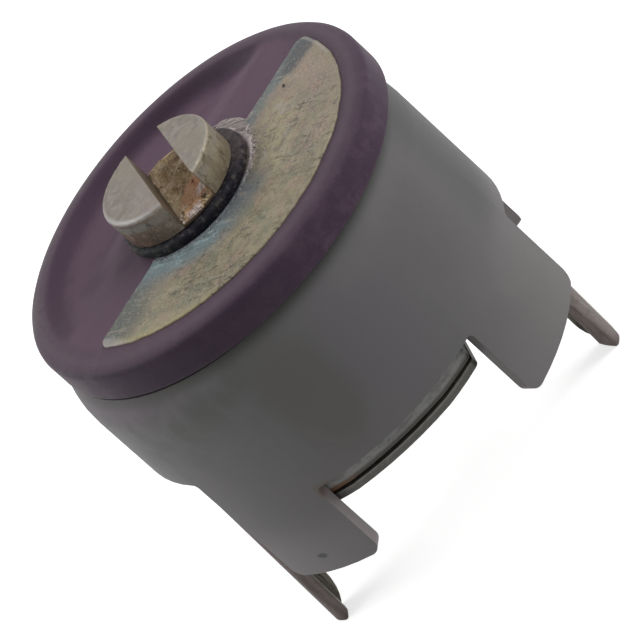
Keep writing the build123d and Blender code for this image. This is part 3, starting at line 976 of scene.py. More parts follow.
@dataclass(frozen=True)
class FoldedStrip:
    """Tinned strip: drawn streaks, painted light along one side of the legs' front faces and on faces
    turned sideways, darker low on the strip's ends by the pedestal.
    """

    name: str
    light_from: float
    light_to: float
    bare: Colour = tone(0.128, 0.104, 0.098)
    light: Colour = tone(0.245, 0.215, 0.200)
    dark: Colour = tone(0.066, 0.052, 0.048)
    tip_z: float = -2.87

    def make(self) -> bpy.types.Material:
        """Makes the material.

        Returns:
            The finish for the piece.
        """
        shader = Shader(self.name)
        place = shader.place()
        x, y, z = shader.parts(place)
        side_x, side_y, _ = shader.normal_parts()
        streak = shader.clouds(shader.place((4.0, 4.0, 0.5)), 2.0, detail=4.0, seed=31.0, rough=0.65)
        blot = shader.clouds(place, 3.0, detail=4.0, seed=33.0, rough=0.6, twist=0.3)
        fine = shader.clouds(place, 20.0, detail=4.0, seed=32.0, rough=0.68)
        edge_x = x + (blot - 0.5) * 0.14 + z * 0.028
        # painted light: a paler band along one side of each leg's front face
        lit = edge_x.step(self.light_from, self.light_to) * (-side_y).step(0.3, 0.7)
        inner = (-side_y).step(0.3, 0.7) * y.step(-0.30, -0.10)
        strip_end = (abs(y) - 3.6).step(0.2, 0.5)
        lower = strip_end * z.step(1.60, 1.54)
        colour = shader.layers(
            self.bare,
            (streak.step(0.42, 0.62) * 0.7, self.dark),
            (lit * 0.9, self.light),
            (lit * blot.step(0.50, 0.60) * 0.7, tone(0.170, 0.146, 0.136)),
            (lit * streak.step(0.44, 0.36) * 0.6, tone(0.360, 0.325, 0.305)),
            (inner * 0.85, tone(0.158, 0.146, 0.112)),
            (inner * streak.step(0.54, 0.60) * 0.9, tone(0.040, 0.036, 0.028)),
            # painted highlight: faces turned sideways made paler
            (abs(side_x).step(0.5, 0.9) * 0.4, tone(0.180, 0.160, 0.150)),
            (strip_end, tone(0.125, 0.122, 0.112)),
            (lower * 0.85, tone(0.062, 0.060, 0.056)),
            (strip_end * blot.step(0.50, 0.60) * 0.5, tone(0.056, 0.056, 0.044)),
            (fine.step(0.57, 0.67) * 0.55, tone(0.042, 0.034, 0.030)),
            (fine.step(0.42, 0.34) * 0.35, tone(0.320, 0.290, 0.270)),
            (z.step(self.tip_z + 0.35, self.tip_z) * 0.5, self.dark),
        )
        relief = shader.bump(fine, 0.006, shader.bump(streak, 0.014))
        return shader.close(colour, 0.40 + streak * 0.16, relief, metallic=0.45, specular=0.45)


@dataclass(frozen=True)
class HeadMetal:
    """The slotted head: pale tin on top, olive and brown on its side, brown in the slot; painted light on
    the side's right, painted shade on its left and low down, a painted highlight along the front of the rim
    and painted shade deep in the slot.
    """

    axis: tuple[float, float] = (ROTOR_X + HEAD_SHIFT[0], HEAD_SHIFT[1])
    top_z: float = HEAD_TOP
    floor_z: float = SLOT_FLOOR
    half_slot: float = HALF_SLOT
    slot_offset: float = -HEAD_SHIFT[0]

    def make(self) -> bpy.types.Material:
        """Makes the material.

        Returns:
            The finish for the piece.
        """
        shader = Shader("head_metal")
        place = shader.place()
        x, y, z = shader.parts(place)
        x = x - self.axis[0]
        y = y - self.axis[1]
        upward = shader.normal_parts()[2]
        around = (x * x + y * y).root()
        broad = shader.clouds(place, 1.3, detail=4.0, seed=41.0)
        mottle = shader.clouds(place, 5.0, detail=5.0, seed=42.0, rough=0.68)
        fine = shader.clouds(place, 20.0, detail=4.0, seed=43.0, rough=0.7)
        patch = shader.clouds(place, 2.6, detail=4.0, seed=45.0, rough=0.6, twist=0.5)
        fall = shader.clouds(shader.place((3.0, 3.0, 0.8)), 1.2, detail=4.0, seed=44.0, rough=0.6)
        top = upward.step(0.60, 0.92)
        side = 1.0 - top
        # painted shade: the lower part of the side wall
        low = (z + (fall - 0.5) * 0.6).step(self.top_z - 0.30, self.top_z - 0.72)
        right = x.step(-0.2, 1.2)
        left = (-x).step(0.2, 1.3)
        inside = abs(x - self.slot_offset).step(self.half_slot + 0.03, self.half_slot + 0.005)
        inside = inside * z.step(self.floor_z - 0.27, self.floor_z - 0.17)
        # painted shade: the slot's walls darker further down
        deep = z.step(self.top_z - 0.20, self.floor_z + 0.15)
        height = z - self.top_z
        # painted highlight: the front of the head's rim, strongest on the left lobe
        lip_highlight = around.step(1.42, 1.50) * height.step(-0.14, -0.04) * (-y).step(-0.9, 0.6)
        band = side * height.step(-0.42, -0.30) * height.step(-0.12, -0.22)
        rusty = height.step(-0.30, -0.45) * mottle.step(0.52, 0.46)
        colour = shader.layers(
            tone(0.205, 0.178, 0.140),
            # painted light on the side's right, painted shade on its left
            (side * right * 0.85, tone(0.292, 0.248, 0.176)),
            (side * left * 0.80, tone(0.112, 0.078, 0.058)),
            (band * 0.30, tone(0.225, 0.215, 0.205)),
            (band * left * 0.55, tone(0.190, 0.205, 0.190)),
            (side * left * low * mottle.step(0.46, 0.54) * 0.5, tone(0.120, 0.110, 0.078)),
            # painted shade low on the side, darkest at the left
            (side * low * left * 0.85, tone(0.066, 0.032, 0.024)),
            (side * left * rusty * 0.5, tone(0.150, 0.088, 0.070)),
            (side * low * right * 0.70, tone(0.150, 0.122, 0.074)),
            (side * fall.step(0.48, 0.62) * 0.45, tone(0.110, 0.084, 0.050)),
            (side * mottle.step(0.53, 0.61) * 0.6, tone(0.062, 0.044, 0.032)),
            (side * mottle.step(0.45, 0.38) * 0.4, tone(0.300, 0.270, 0.215)),
            (top, tone(0.208, 0.180, 0.158)),
            (top * mottle.step(0.50, 0.58) * 0.65, tone(0.272, 0.244, 0.212)),
            (top * mottle.step(0.47, 0.40) * 0.65, tone(0.148, 0.128, 0.110)),
            (top * broad.step(0.46, 0.56) * 0.55, tone(0.222, 0.205, 0.150)),
            (top * abs(x + 0.55).step(0.45, 0.10) * 0.35, tone(0.240, 0.196, 0.176)),
            (top * patch.step(0.52, 0.62) * 0.45, tone(0.170, 0.158, 0.118)),
            (lip_highlight * (0.12 + left * 0.38), tone(0.400, 0.405, 0.405)),
            (inside * side * 0.9, tone(0.130, 0.092, 0.060)),
            (inside * side * deep * 0.7, tone(0.070, 0.042, 0.024)),
            (fine.step(0.59, 0.68) * 0.45, tone(0.066, 0.052, 0.040)),
            (fine.step(0.42, 0.35) * 0.35, tone(0.400, 0.370, 0.330)),
        )
        relief = shader.bump(fine, 0.007, shader.bump(mottle, 0.022))
        return shader.close(colour, 0.44 + mottle * 0.20, relief, metallic=0.45, specular=0.4)


@dataclass(frozen=True)
class SlotDirt:
    """What fills the bed of the slot: rough ochre and brown, orange at one spot, pale at the near end."""

    axis: tuple[float, float] = (ROTOR_X, HEAD_SHIFT[1])

    def make(self) -> bpy.types.Material:
        """Makes the material.

        Returns:
            The finish for the piece.
        """
        shader = Shader("slot_dirt")
        place = shader.place()
        x, y, _ = shader.parts(place)
        x = x - self.axis[0]
        y = y - self.axis[1]
        blot = shader.clouds(place, 3.4, detail=5.0, seed=51.0, rough=0.7)
        run = shader.clouds(shader.place((5.0, 1.2, 1.0)), 1.2, detail=4.0, seed=52.0, rough=0.65)
        fine = shader.clouds(place, 18.0, detail=4.0, seed=53.0, rough=0.7)
        rag = (blot - 0.5) * 2.6
        orange = shader.spot(x - y * 0.35, y, (0.46, -0.90), (0.50, 0.72), rag)
        near = shader.spot(x, y, (-0.05, -1.49), (0.24, 0.15), rag).greater(
            shader.spot(x - y * 0.5, y, (0.78, -0.92), (0.16, 0.30), rag)
        )
        hole = shader.spot(x, y, (0.30, -1.32), (0.12, 0.14), rag).greater(
            shader.spot(x, y, (-0.32, -1.30), (0.06, 0.16), rag)
        )
        colour = shader.layers(
            tone(0.360, 0.262, 0.140),
            (run.step(0.49, 0.58) * 0.65, tone(0.200, 0.122, 0.055)),
            (x.step(-0.20, -0.42) * 0.7, tone(0.450, 0.345, 0.220)),
            (x.step(0.10, 0.40) * y.step(-0.6, 0.4) * 0.6, tone(0.185, 0.120, 0.070)),
            (blot.step(0.53, 0.60) * 0.8, tone(0.500, 0.400, 0.280)),
            (blot.step(0.46, 0.40) * 0.7, tone(0.110, 0.070, 0.040)),
            (orange * 0.90, tone(0.520, 0.300, 0.175)),
            (orange * x.step(0.10, 0.32) * run.step(0.44, 0.54) * 0.7, tone(0.440, 0.190, 0.120)),
            (x.step(-0.34, -0.46) * y.step(-0.9, -1.3) * 0.8, tone(0.560, 0.500, 0.410)),
            (hole * 0.9, tone(0.060, 0.040, 0.030)),
            (near * 0.95, tone(0.560, 0.470, 0.440)),
            (fine.step(0.58, 0.65) * 0.7, tone(0.060, 0.040, 0.026)),
            (fine.step(0.43, 0.36) * 0.4, tone(0.580, 0.500, 0.390)),
        )
        relief = shader.bump(fine, 0.010, shader.bump(blot, 0.03))
        return shader.close(colour, 0.60 + fine * 0.2, relief, metallic=0.1, specular=0.3)


def merged_mesh(node: str) -> bmesh.types.BMesh:
    """Copies a CAD node's faces, with their corners merged and each flat area made one face.

    Args:
        node: The node's name.

    Returns:
        The mesh, in millimetres.
    """
    bench = bmesh.new()
    bench.from_mesh(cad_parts[node].data)
    bmesh.ops.scale(bench, vec=(1.0 / MM,) * 3, verts=bench.verts)
    bmesh.ops.remove_doubles(bench, verts=bench.verts, dist=MERGE_DISTANCE)
    flat = math.radians(FLAT_ANGLE)
    bmesh.ops.dissolve_limit(bench, angle_limit=flat, verts=bench.verts, edges=bench.edges)
    return bench


def finished(
    bench: bmesh.types.BMesh,
    name: str,
    material: bpy.types.Material,
    bevel: float = 0.0,
    sharp: float = 35.0,
) -> bpy.types.Object:
    """Turns a worked mesh in millimetres into a piece in metres.

    Args:
        bench: The mesh, which is used up.
        name: The piece's name.
        material: Its finish.
        bevel: The width of the small rounds along its sharp edges.
        sharp: The least angle of a sharp edge, in degrees.

    Returns:
        The piece, at the origin.
    """
    mesh = bpy.data.meshes.new(name)
    bench.to_mesh(mesh)
    bench.free()
    mesh.shade_smooth()
    mesh.set_sharp_from_angle(angle=math.radians(sharp))
    draft = bpy.data.objects.new(f"{name}.draft", mesh)
    bpy.context.scene.collection.objects.link(draft)
    if bevel > 0.0:
        rounds = draft.modifiers.new("rounds", "BEVEL")
        rounds.width = bevel
        rounds.segments = ROUND_SEGMENTS
        rounds.limit_method = "ANGLE"
        rounds.angle_limit = math.radians(sharp)
        rounds.harden_normals = True
        rounds.use_clamp_overlap = True
    draft.modifiers.new("normals", "WEIGHTED_NORMAL").keep_sharp = True
    graph = bpy.context.evaluated_depsgraph_get()
    done = bpy.data.meshes.new_from_object(draft.evaluated_get(graph))
    bpy.data.objects.remove(draft)
    done.transform(Matrix.Scale(MM, 4))
    done.name = name
    done.materials.clear()
    done.materials.append(material)
    piece = bpy.data.objects.new(name, done)
    bpy.context.scene.collection.objects.link(piece)
    return piece


def seat(piece: bpy.types.Object, body: Body, slot: str, *nodes: str) -> None:
    """Lets a piece ride on its body and stand for its CAD nodes.

    Args:
        piece: The piece.
        body: The body that carries it.
        slot: Not used.
        nodes: The CAD nodes that it stands for.
    """
    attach(piece, body.value)
    if nodes:
        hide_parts(*nodes)
    LOG.info("%s rides on %s, %d faces", piece.name, body.value, len(piece.data.polygons))


@dataclass(frozen=True)
class Lamp:
    """A soft distant lamp: where it stands in degrees, what light it gives and how wide it looks."""

    name: str
    azimuth: float
    elevation: float
    level: float
    spread: float = 50.0

    def build(self) -> None:
        """Makes the lamp; its level is the share of full light that a white face turned to it gets."""
        data = bpy.data.lights.new(self.name, "SUN")
        data.energy = self.level * math.pi
        data.angle = math.radians(self.spread)
        turn = math.radians(self.azimuth)
        tilt = math.radians(self.elevation)
        level = math.cos(tilt)
        towards = Vector((math.sin(turn) * level, -math.cos(turn) * level, math.sin(tilt)))
        lamp = bpy.data.objects.new(self.name, data)
        lamp.rotation_euler = towards.to_track_quat("Z", "Y").to_euler()
        bpy.context.scene.collection.objects.link(lamp)


@dataclass
class Studio:
    """The camera, the pale floor, the world and the lamps."""

    azimuth: float = 5.2
    elevation: float = 27.7204
    roll: float = 47.8847
    place: tuple[float, float, float] = (13.96, -154.22, 84.26)
    lens: float = 435.588
    sensor: float = 36.0
    floor_half: float = 600.0
    floor_colour: Colour = tone(0.62, 0.62, 0.62)
    world_level: float = 0.30
    floor_lift: float = 0.70
    lamps: tuple[Lamp, ...] = (
        Lamp("lamp_right", 82.0, 35.0, 0.64),
        Lamp("lamp_left", -108.0, 35.0, 0.52),
    )

    def camera(self) -> None:
        """Makes the camera, rolled as the photograph's is."""
        turn = math.radians(self.azimuth)
        tilt = math.radians(self.elevation)
        roll = math.radians(self.roll)
        level = math.cos(tilt)
        right = Vector((math.cos(turn), math.sin(turn), 0.0))
        ahead = Vector((-math.sin(turn) * level, math.cos(turn) * level, -math.sin(tilt)))
        up = right.cross(ahead)
        image_right = right * math.cos(roll) - up * math.sin(roll)
        image_up = right * math.sin(roll) + up * math.cos(roll)
        turned = Matrix((image_right, image_up, -ahead)).transposed().to_4x4()
        data = bpy.data.cameras.new("camera")
        data.lens = self.lens
        data.sensor_width = self.sensor
        data.clip_start = 0.005
        data.clip_end = 10.0
        camera = bpy.data.objects.new("camera", data)
        camera.matrix_world = Matrix.Translation(Vector(self.place) * MM) @ turned
        bpy.context.scene.collection.objects.link(camera)
        bpy.context.scene.camera = camera

    def seen(self, tree: Tree) -> Sock:
        """Tells what the camera, gloss and glass see from what only lights the object.

        Args:
            tree: The tree that needs the mask.

        Returns:
            A mask that is 1 where it is seen.
        """
        rays = ("Is Camera Ray", "Is Glossy Ray", "Is Transmission Ray")
        path = tree.node("ShaderNodeLightPath", {}, {})
        camera, glossy, through = (Sock(tree, path.outputs[ray]) for ray in rays)
        return camera.greater(glossy).greater(through)

    def floor(self) -> None:
        """Makes the pale floor, which keeps the shadow and can't be seen from below."""
        shader = Shader("pale_floor")
        matte = shader.node("ShaderNodeBsdfDiffuse", {}, {"Color": self.floor_colour}).outputs[0]
        light = {"Color": grey(1.0), "Strength": self.floor_lift}
        glow = shader.node("ShaderNodeEmission", {}, light).outputs[0]
        lifted = shader.node("ShaderNodeAddShader", {}, {0: matte, 1: glow}).outputs[0]
        front = shader.node("ShaderNodeMixShader", {}, {0: self.seen(shader), 1: matte, 2: lifted})
        clear = shader.node("ShaderNodeBsdfTransparent", {}, {}).outputs[0]
        back = shader.node("ShaderNodeNewGeometry", {}, {}).outputs["Backfacing"]
        both = shader.node("ShaderNodeMixShader", {}, {0: back, 1: front.outputs[0], 2: clear})
        shader.node("ShaderNodeOutputMaterial", {}, {"Surface": both.outputs[0]})
        bench = bmesh.new()
        half = self.floor_half
        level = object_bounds()[0].z / MM
        corners = [(-half, -half), (half, -half), (half, half), (-half, half)]
        bench.faces.new([bench.verts.new((x, y, level)) for x, y in corners])
        finished(bench, "floor", shader.material)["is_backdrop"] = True

    def world(self) -> None:
        """Makes the world: plain light for the object, white where it is seen."""
        world = bpy.data.worlds.new("world")
        world.use_nodes = True
        bpy.context.scene.world = world
        sky = Tree(world.node_tree)
        plain, white = (
            sky.node("ShaderNodeBackground", {}, {"Color": grey(1.0), "Strength": level}).outputs[0]
            for level in (self.world_level, 1.0)
        )
        mixed = sky.node("ShaderNodeMixShader", {}, {0: self.seen(sky), 1: plain, 2: white})
        sky.node("ShaderNodeOutputWorld", {}, {"Surface": mixed.outputs[0]})

    def build(self) -> None:
        """Makes all of it and sets the plain colour handling."""
        bpy.context.scene.view_settings.view_transform = "Standard"
        self.camera()
        self.floor()
        self.world()
        for lamp in self.lamps:
            lamp.build()


@dataclass
class HousingShell:
    """The round grey skirt with its four feet."""

    edge_round: float = 0.055

    def build(self) -> None:
        """Makes the skirt with softened edges."""
        piece = finished(merged_mesh("housing"), "housing_shell", MouldedGrey().make(), self.edge_round)
        seat(piece, Body.STATOR, "housing_plastic", "housing")


@dataclass
class StatorStack:
    """What the housing holds: the ceramic body, its film and the two terminals."""

    ceramic_round: float = 0.04
    strip_round: float = 0.022

    def build(self) -> None:
        """Makes the four pieces."""
        body = merged_mesh("stator_body")
        ceramic = finished(body, "stator_ceramic", PaleCeramic().make(), self.ceramic_round)
        seat(ceramic, Body.STATOR, "stator_ceramic", "stator_body")
        film = finished(merged_mesh("stator_electrode"), "stator_film", SILVER.make())
        seat(film, Body.STATOR, "silver_film", "stator_electrode")
        stator_finish = FoldedStrip("stator_strip", light_from=-4.58, light_to=-4.50)
        rotor_finish = FoldedStrip("rotor_strip", light_from=4.00, light_to=4.10)
        strips = (
            ("stator_terminal", "stator_leg", stator_finish),
            ("rotor_terminal", "rotor_leg_and_strip", rotor_finish),
        )
        for node, name, finish in strips:
            piece = finished(merged_mesh(node), name, finish.make(), self.strip_round)
            seat(piece, Body.STATOR, "tinned_strip", node)


@dataclass
class RotorDisc:
    """The violet disc: pressed ceramic with a soft pocket, a little uneven all over."""

    axis_x: float = ROTOR_X
    base_z: float = DISC_BASE
    thickness: float = DISC_THICKNESS
    radius: float = 5.0
    bore: float = 0.92
    top_round: float = 0.28
    top_round_reach: float = 0.50
    base_round: float = 0.12
    pocket_radius: float = 4.36
    pocket_setback: float = 0.90
    pocket_depth: float = 0.28
    pocket_shallow: float = 0.15
    near_slope_left: float = 2.60
    near_slope_right: float = 1.35
    far_slope: float = 0.42
    hub_slope_left: float = 1.40
    hub_slope_right: float = 0.35
    hub_radius: float = 2.0
    slope_foot: float = 0.05
    fade_left: float = -4.0
    fade_right: float = 0.5
    film_angle: float = FILM_ANGLE
    ring_step: float = 0.06
    segments: int = 480
    top_steps: int = 6
    side_steps: int = 4
    base_steps: int = 5
    wave: float = 0.006
    wave_scale: float = 0.9
    wave_fade: float = 1.2
    sharp: float = 60.0

    def pocket(self, x: float, y: float) -> float:
        """How deep the pocket is at a place.

        Args:
            x: The place from the rotor's axis towards +X, in millimetres.
            y: The place towards +Y.

        Returns:
            The depth in millimetres, 0 outside the pocket.
        """
        along, behind = film_axes(x, y, self.film_angle)
        around = math.hypot(x, y)
        right = smooth_step(self.fade_left, self.fade_right, along)
        depth = self.pocket_shallow + (self.pocket_depth - self.pocket_shallow) * right
        near_slope = self.near_slope_left + (self.near_slope_right - self.near_slope_left) * right
        hub_slope = self.hub_slope_left + (self.hub_slope_right - self.hub_slope_left) * right
        foot = self.slope_foot
        near = smooth_step(-2.0 * foot, near_slope - 2.0 * foot, behind - self.pocket_setback * right)
        far = smooth_step(-foot, self.far_slope - foot, self.pocket_radius - around)
        hub = smooth_step(-foot, hub_slope - foot, around - self.hub_radius)
        return depth * near * far * hub

    def profile(self) -> list[tuple[float, float, bool]]:
        """The section, from the bore outwards over the top, down the side and back underneath.

        Returns:
            Its points: radius, height over the base, and whether the top's relief applies.
        """
        top_edge = self.radius - self.top_round_reach
        count = round((top_edge - self.bore) / self.ring_step)
        points = []
        for step in range(count + 1):
            points.append((self.bore + (top_edge - self.bore) * step / count, self.thickness, True))
        for step in range(1, self.top_steps + 1):
            turn = math.pi / 2 * step / self.top_steps
            reach = top_edge + self.top_round_reach * math.sin(turn)
            points.append((reach, self.thickness - self.top_round * (1 - math.cos(turn)), False))
        straight = self.thickness - self.top_round - self.base_round
        for step in range(self.side_steps - 1, 0, -1):
            points.append((self.radius, self.base_round + straight * step / self.side_steps, False))
        for step in range(self.base_steps + 1):
            turn = math.pi / 2 * step / self.base_steps
            reach = self.radius - self.base_round * (1 - math.cos(turn))
            points.append((reach, self.base_round * (1 - math.sin(turn)), False))
        points.append((self.bore, 0.0, False))
        return points

    def place(self, radius: float, height: float, on_top: bool, turn: float) -> Vector:
        """Turns a point of the section to its place on the disc and adds the unevenness.

        Args:
            radius: The point's radius.
            height: Its height over the base.
            on_top: Whether the pocket and the top's waves apply.
            turn: Where it is round the axis, in radians.

        Returns:
            The place, in millimetres.
        """
        x = radius * math.cos(turn)
        y = radius * math.sin(turn)
        wave = abs(noise.noise(Vector((x, y, height)) * self.wave_scale) * self.wave)
        if on_top:
            fade = smooth_step(self.bore, self.bore + self.wave_fade, radius)
            height -= self.pocket(x, y) + wave * fade
        if radius > self.radius - self.top_round_reach:
            inward = 1.0 - wave / self.radius
            x *= inward
            y *= inward
        return Vector((x + self.axis_x, y, height + self.base_z))

    def build(self) -> None:
        """Makes the disc, ring by ring."""
        bench = bmesh.new()
        turns = [math.tau * step / self.segments for step in range(self.segments)]
        rings = []
        for radius, height, on_top in self.profile():
            rings.append([bench.verts.new(self.place(radius, height, on_top, turn)) for turn in turns])
        for inner, outer in zip(rings, rings[1:] + rings[:1]):
            for step in range(self.segments):
                after = (step + 1) % self.segments
                bench.faces.new((inner[step], outer[step], outer[after], inner[after]))
        bmesh.ops.recalc_face_normals(bench, faces=bench.faces)
        piece = finished(bench, "violet_disc", VioletCeramic().make(), sharp=self.sharp)
        seat(piece, Body.ROTOR, "rotor_ceramic", "rotor_disc")


@dataclass
class EdgeRun:
    """A closed edge while it is being drawn, as places that lie about one spacing apart."""

    spacing: float
    places: list[Vector] = field(default_factory=list)

    def arc(self, centre: tuple[float, float], radius: float, start: float, end: float) -> None:
        """Adds an arc without its last place.

        Args:
            centre: Its centre.
            radius: Its radius.
            start: The angle where it starts, in radians.
            end: The angle where it ends.
        """
        count = max(2, round(abs(end - start) * radius / self.spacing))
        for step in range(count):
            turn = start + (end - start) * step / count
            self.places.append(Vector(centre) + Vector((math.cos(turn), math.sin(turn))) * radius)

    def line(self, start: tuple[float, float], end: tuple[float, float]) -> None:
        """Adds a straight run without its last place.

        Args:
            start: Where it starts.
            end: Where it ends.
        """
        count = max(2, round(math.dist(start, end) / self.spacing))
        for step in range(count):
            self.places.append(Vector(start).lerp(Vector(end), step / count))


@dataclass
class RotorFilm:
    """The rotor's silver film, a little uneven along its edge."""

    axis_x: float = ROTOR_X
    base_z: float = FILM_BASE
    thickness: float = FILM_THICKNESS
    radius: float = 4.44
    setback: float = FILM_SETBACK
    corner: float = 0.26
    pad_radius: float = 2.10
    under_washer: float = 1.6
    pad_end: float = 135.0
    tip_round: float = 0.18
    left_share: float = 0.975
    film_angle: float = FILM_ANGLE
    spacing: float = 0.04
    wander: float = 0.018
    wander_scales: tuple[float, float] = (4.5, 1.2)
    edge_steps: tuple[tuple[float, float], ...] = ((0.0, 0.0), (0.0, 0.5), (0.012, 0.85), (0.03, 1.0))
    sharp: float = 20.0

    def outline(self) -> list[Vector]:
        """Draws the film's edge, anticlockwise from above, about the rotor's axis.

        Returns:
            The edge as a closed run of places, in millimetres.
        """
        half = math.sqrt((self.radius - self.corner) ** 2 - (self.setback + self.corner) ** 2)
        corner_angle = math.atan2(-(self.setback + self.corner), half)
        run = EdgeRun(self.spacing)
        turn = math.radians(self.film_angle)
        edge_y = -self.setback
        pad_x = math.sqrt(self.pad_radius**2 - edge_y**2)
        pad_start = math.atan2(edge_y, pad_x)
        pad_stop = math.radians(self.pad_end - 90.0) - turn
        left_x = -math.sqrt(self.under_washer**2 - edge_y**2)
        left_stop = math.atan2(edge_y, left_x) % math.tau
        tip_reach = self.pad_radius - self.tip_round
        tip_angle = pad_stop - math.asin(self.tip_round / tip_reach)
        tip = (tip_reach * math.cos(tip_angle), tip_reach * math.sin(tip_angle))
        end_reach = tip_reach * math.cos(pad_stop - tip_angle)
        end_way = Vector((math.cos(pad_stop), math.sin(pad_stop)))
        centre = (0.0, 0.0)
        run.arc(centre, self.radius, math.pi - corner_angle, math.tau + corner_angle)
        run.arc((half, edge_y - self.corner), self.corner, corner_angle, math.pi / 2)
        run.line((half, edge_y), (pad_x, edge_y))
        run.arc(centre, self.pad_radius, pad_start, tip_angle)
        run.arc(tip, self.tip_round, tip_angle, pad_stop + math.pi / 2)
        run.line(tuple(end_way * end_reach), tuple(end_way * self.under_washer))
        run.arc(centre, self.under_washer, pad_stop, left_stop)
        run.line((left_x, edge_y), (-half, edge_y))
        run.arc((-half, edge_y - self.corner), self.corner, math.pi / 2, math.pi - corner_angle)
        for place in run.places:
            if place.x < 0.0:
                place.x *= self.left_share
            place.rotate(Matrix.Rotation(turn, 2))
        return run.places

    def wavering(self, place: Vector) -> float:
        """How far the real edge lies outside its drawn line, mostly a little less than 0.

        Args:
            place: The place on the line.

        Returns:
            The distance in millimetres.
        """
        layers = zip((3.0, 7.0), self.wander_scales)
        waves = sum(noise.noise(Vector((place.x, place.y, level)) * scale) for level, scale in layers)
        return (waves - 1.0) * self.wander

    def build(self) -> None:
        """Makes the film with a thin rounded edge."""
        places = self.outline()
        count = len(places)
        outward = []
        for step in range(count):
            run = places[(step + 1) % count] - places[step - 1]
            outward.append(Vector((run.y, -run.x)).normalized())
        bench = bmesh.new()
        rings = []
        for inset, height in self.edge_steps:
            z = self.base_z + self.thickness * height
            ring = []
            for place, direction in zip(places, outward):
                spot = place + direction * (self.wavering(place) - inset)
                ring.append(bench.verts.new((spot.x + self.axis_x, spot.y, z)))
            rings.append(ring)
        for lower, upper in zip(rings, rings[1:]):
            for step in range(count):
                after = (step + 1) % count
                bench.faces.new((lower[step], lower[after], upper[after], upper[step]))
        bench.faces.new(rings[-1])
        bench.faces.new(list(reversed(rings[0])))
        bmesh.ops.recalc_face_normals(bench, faces=bench.faces)
        bmesh.ops.triangulate(bench, faces=[face for face in bench.faces if len(face.verts) > 4])
        piece = finished(bench, "rotor_film", TarnishedFilm().make(), sharp=self.sharp)
        seat(piece, Body.ROTOR, "rotor_film", "rotor_electrode")


@dataclass
class HubWasher:
    """The dark washer under the head, a turned ring whose edge is a little ragged."""

    axis: tuple[float, float] = (0.04, HEAD_SHIFT[1])
    base_z: float = FILM_TOP
    thickness: float = 0.30
    radius: float = 1.77
    bore: float = 1.10
    edge_round: float = 0.09
    ragged: float = 0.035
    worn: float = 0.10
    segments: int = 260
    spacing: float = 0.045

    def ring(self, tree: Grower) -> bpy.types.NodeSocket:
        """Sweeps the ring's rounded section round the axis.

        Args:
            tree: The washer's tree.

        Returns:
            The plain ring, about the origin.
        """
        outer = tree.size("Radius")
        bore = tree.size("Bore")
        sockets = {"Resolution": self.segments, "Radius": (outer + bore) * 0.5}
        circle = tree.node("GeometryNodeCurvePrimitiveCircle", {}, sockets).outputs[0]
        sockets = {"Width": outer - bore, "Height": tree.size("Thickness")}
        section = tree.node("GeometryNodeCurvePrimitiveQuadrilateral", {}, sockets).outputs[0]
        sockets = {"Curve": section, "Count": 5, "Radius": tree.size("Round"), "Limit Radius": True}
        rounded = tree.node("GeometryNodeFilletCurve", {"mode": "POLY"}, sockets).outputs[0]
        sockets = {"Curve": rounded, "Length": self.spacing}
        dense = tree.node("GeometryNodeResampleCurve", {"mode": "LENGTH"}, sockets).outputs[0]
        return tree.node("GeometryNodeCurveToMesh", {}, {0: circle, 1: dense}).outputs[0]

    def build(self) -> None:
        """Roughens the ring's edge, wears its top and sets it on the film."""
        tree = Grower(
            "washer_ring",
            Radius=self.radius,
            Bore=self.bore,
            Thickness=self.thickness,
            Round=self.edge_round,
            Ragged=self.ragged,
            Worn=self.worn,
        )
        ring = self.ring(tree)
        place = tree.where()
        x, y, z = tree.parts(place)
        around = (x * x + y * y).root()
        rough = (tree.clouds(place, 1.6, detail=5.0, seed=3.0, rough=0.7) - 0.5) * 2.0 * tree.size("Ragged")
        edge = around.step(1.35, 1.70)
        grown = 1.0 + (rough * edge - tree.size("Ragged") * 0.3 * edge) / around
        dents = tree.clouds(place, 2.6, detail=4.0, seed=9.0, rough=0.6) - 0.72
        top = z.step(-0.05, 0.12) * dents * tree.size("Worn")
        uneven = tree.moved(ring, tree.joined(x * grown, y * grown, z + top))
        placed = tree.shifted(uneven, (*self.axis, self.base_z + self.thickness / 2))
        seat(tree.grow(placed, OxidisedRing().make()), Body.ROTOR, "dark_washer", "contact_washer")


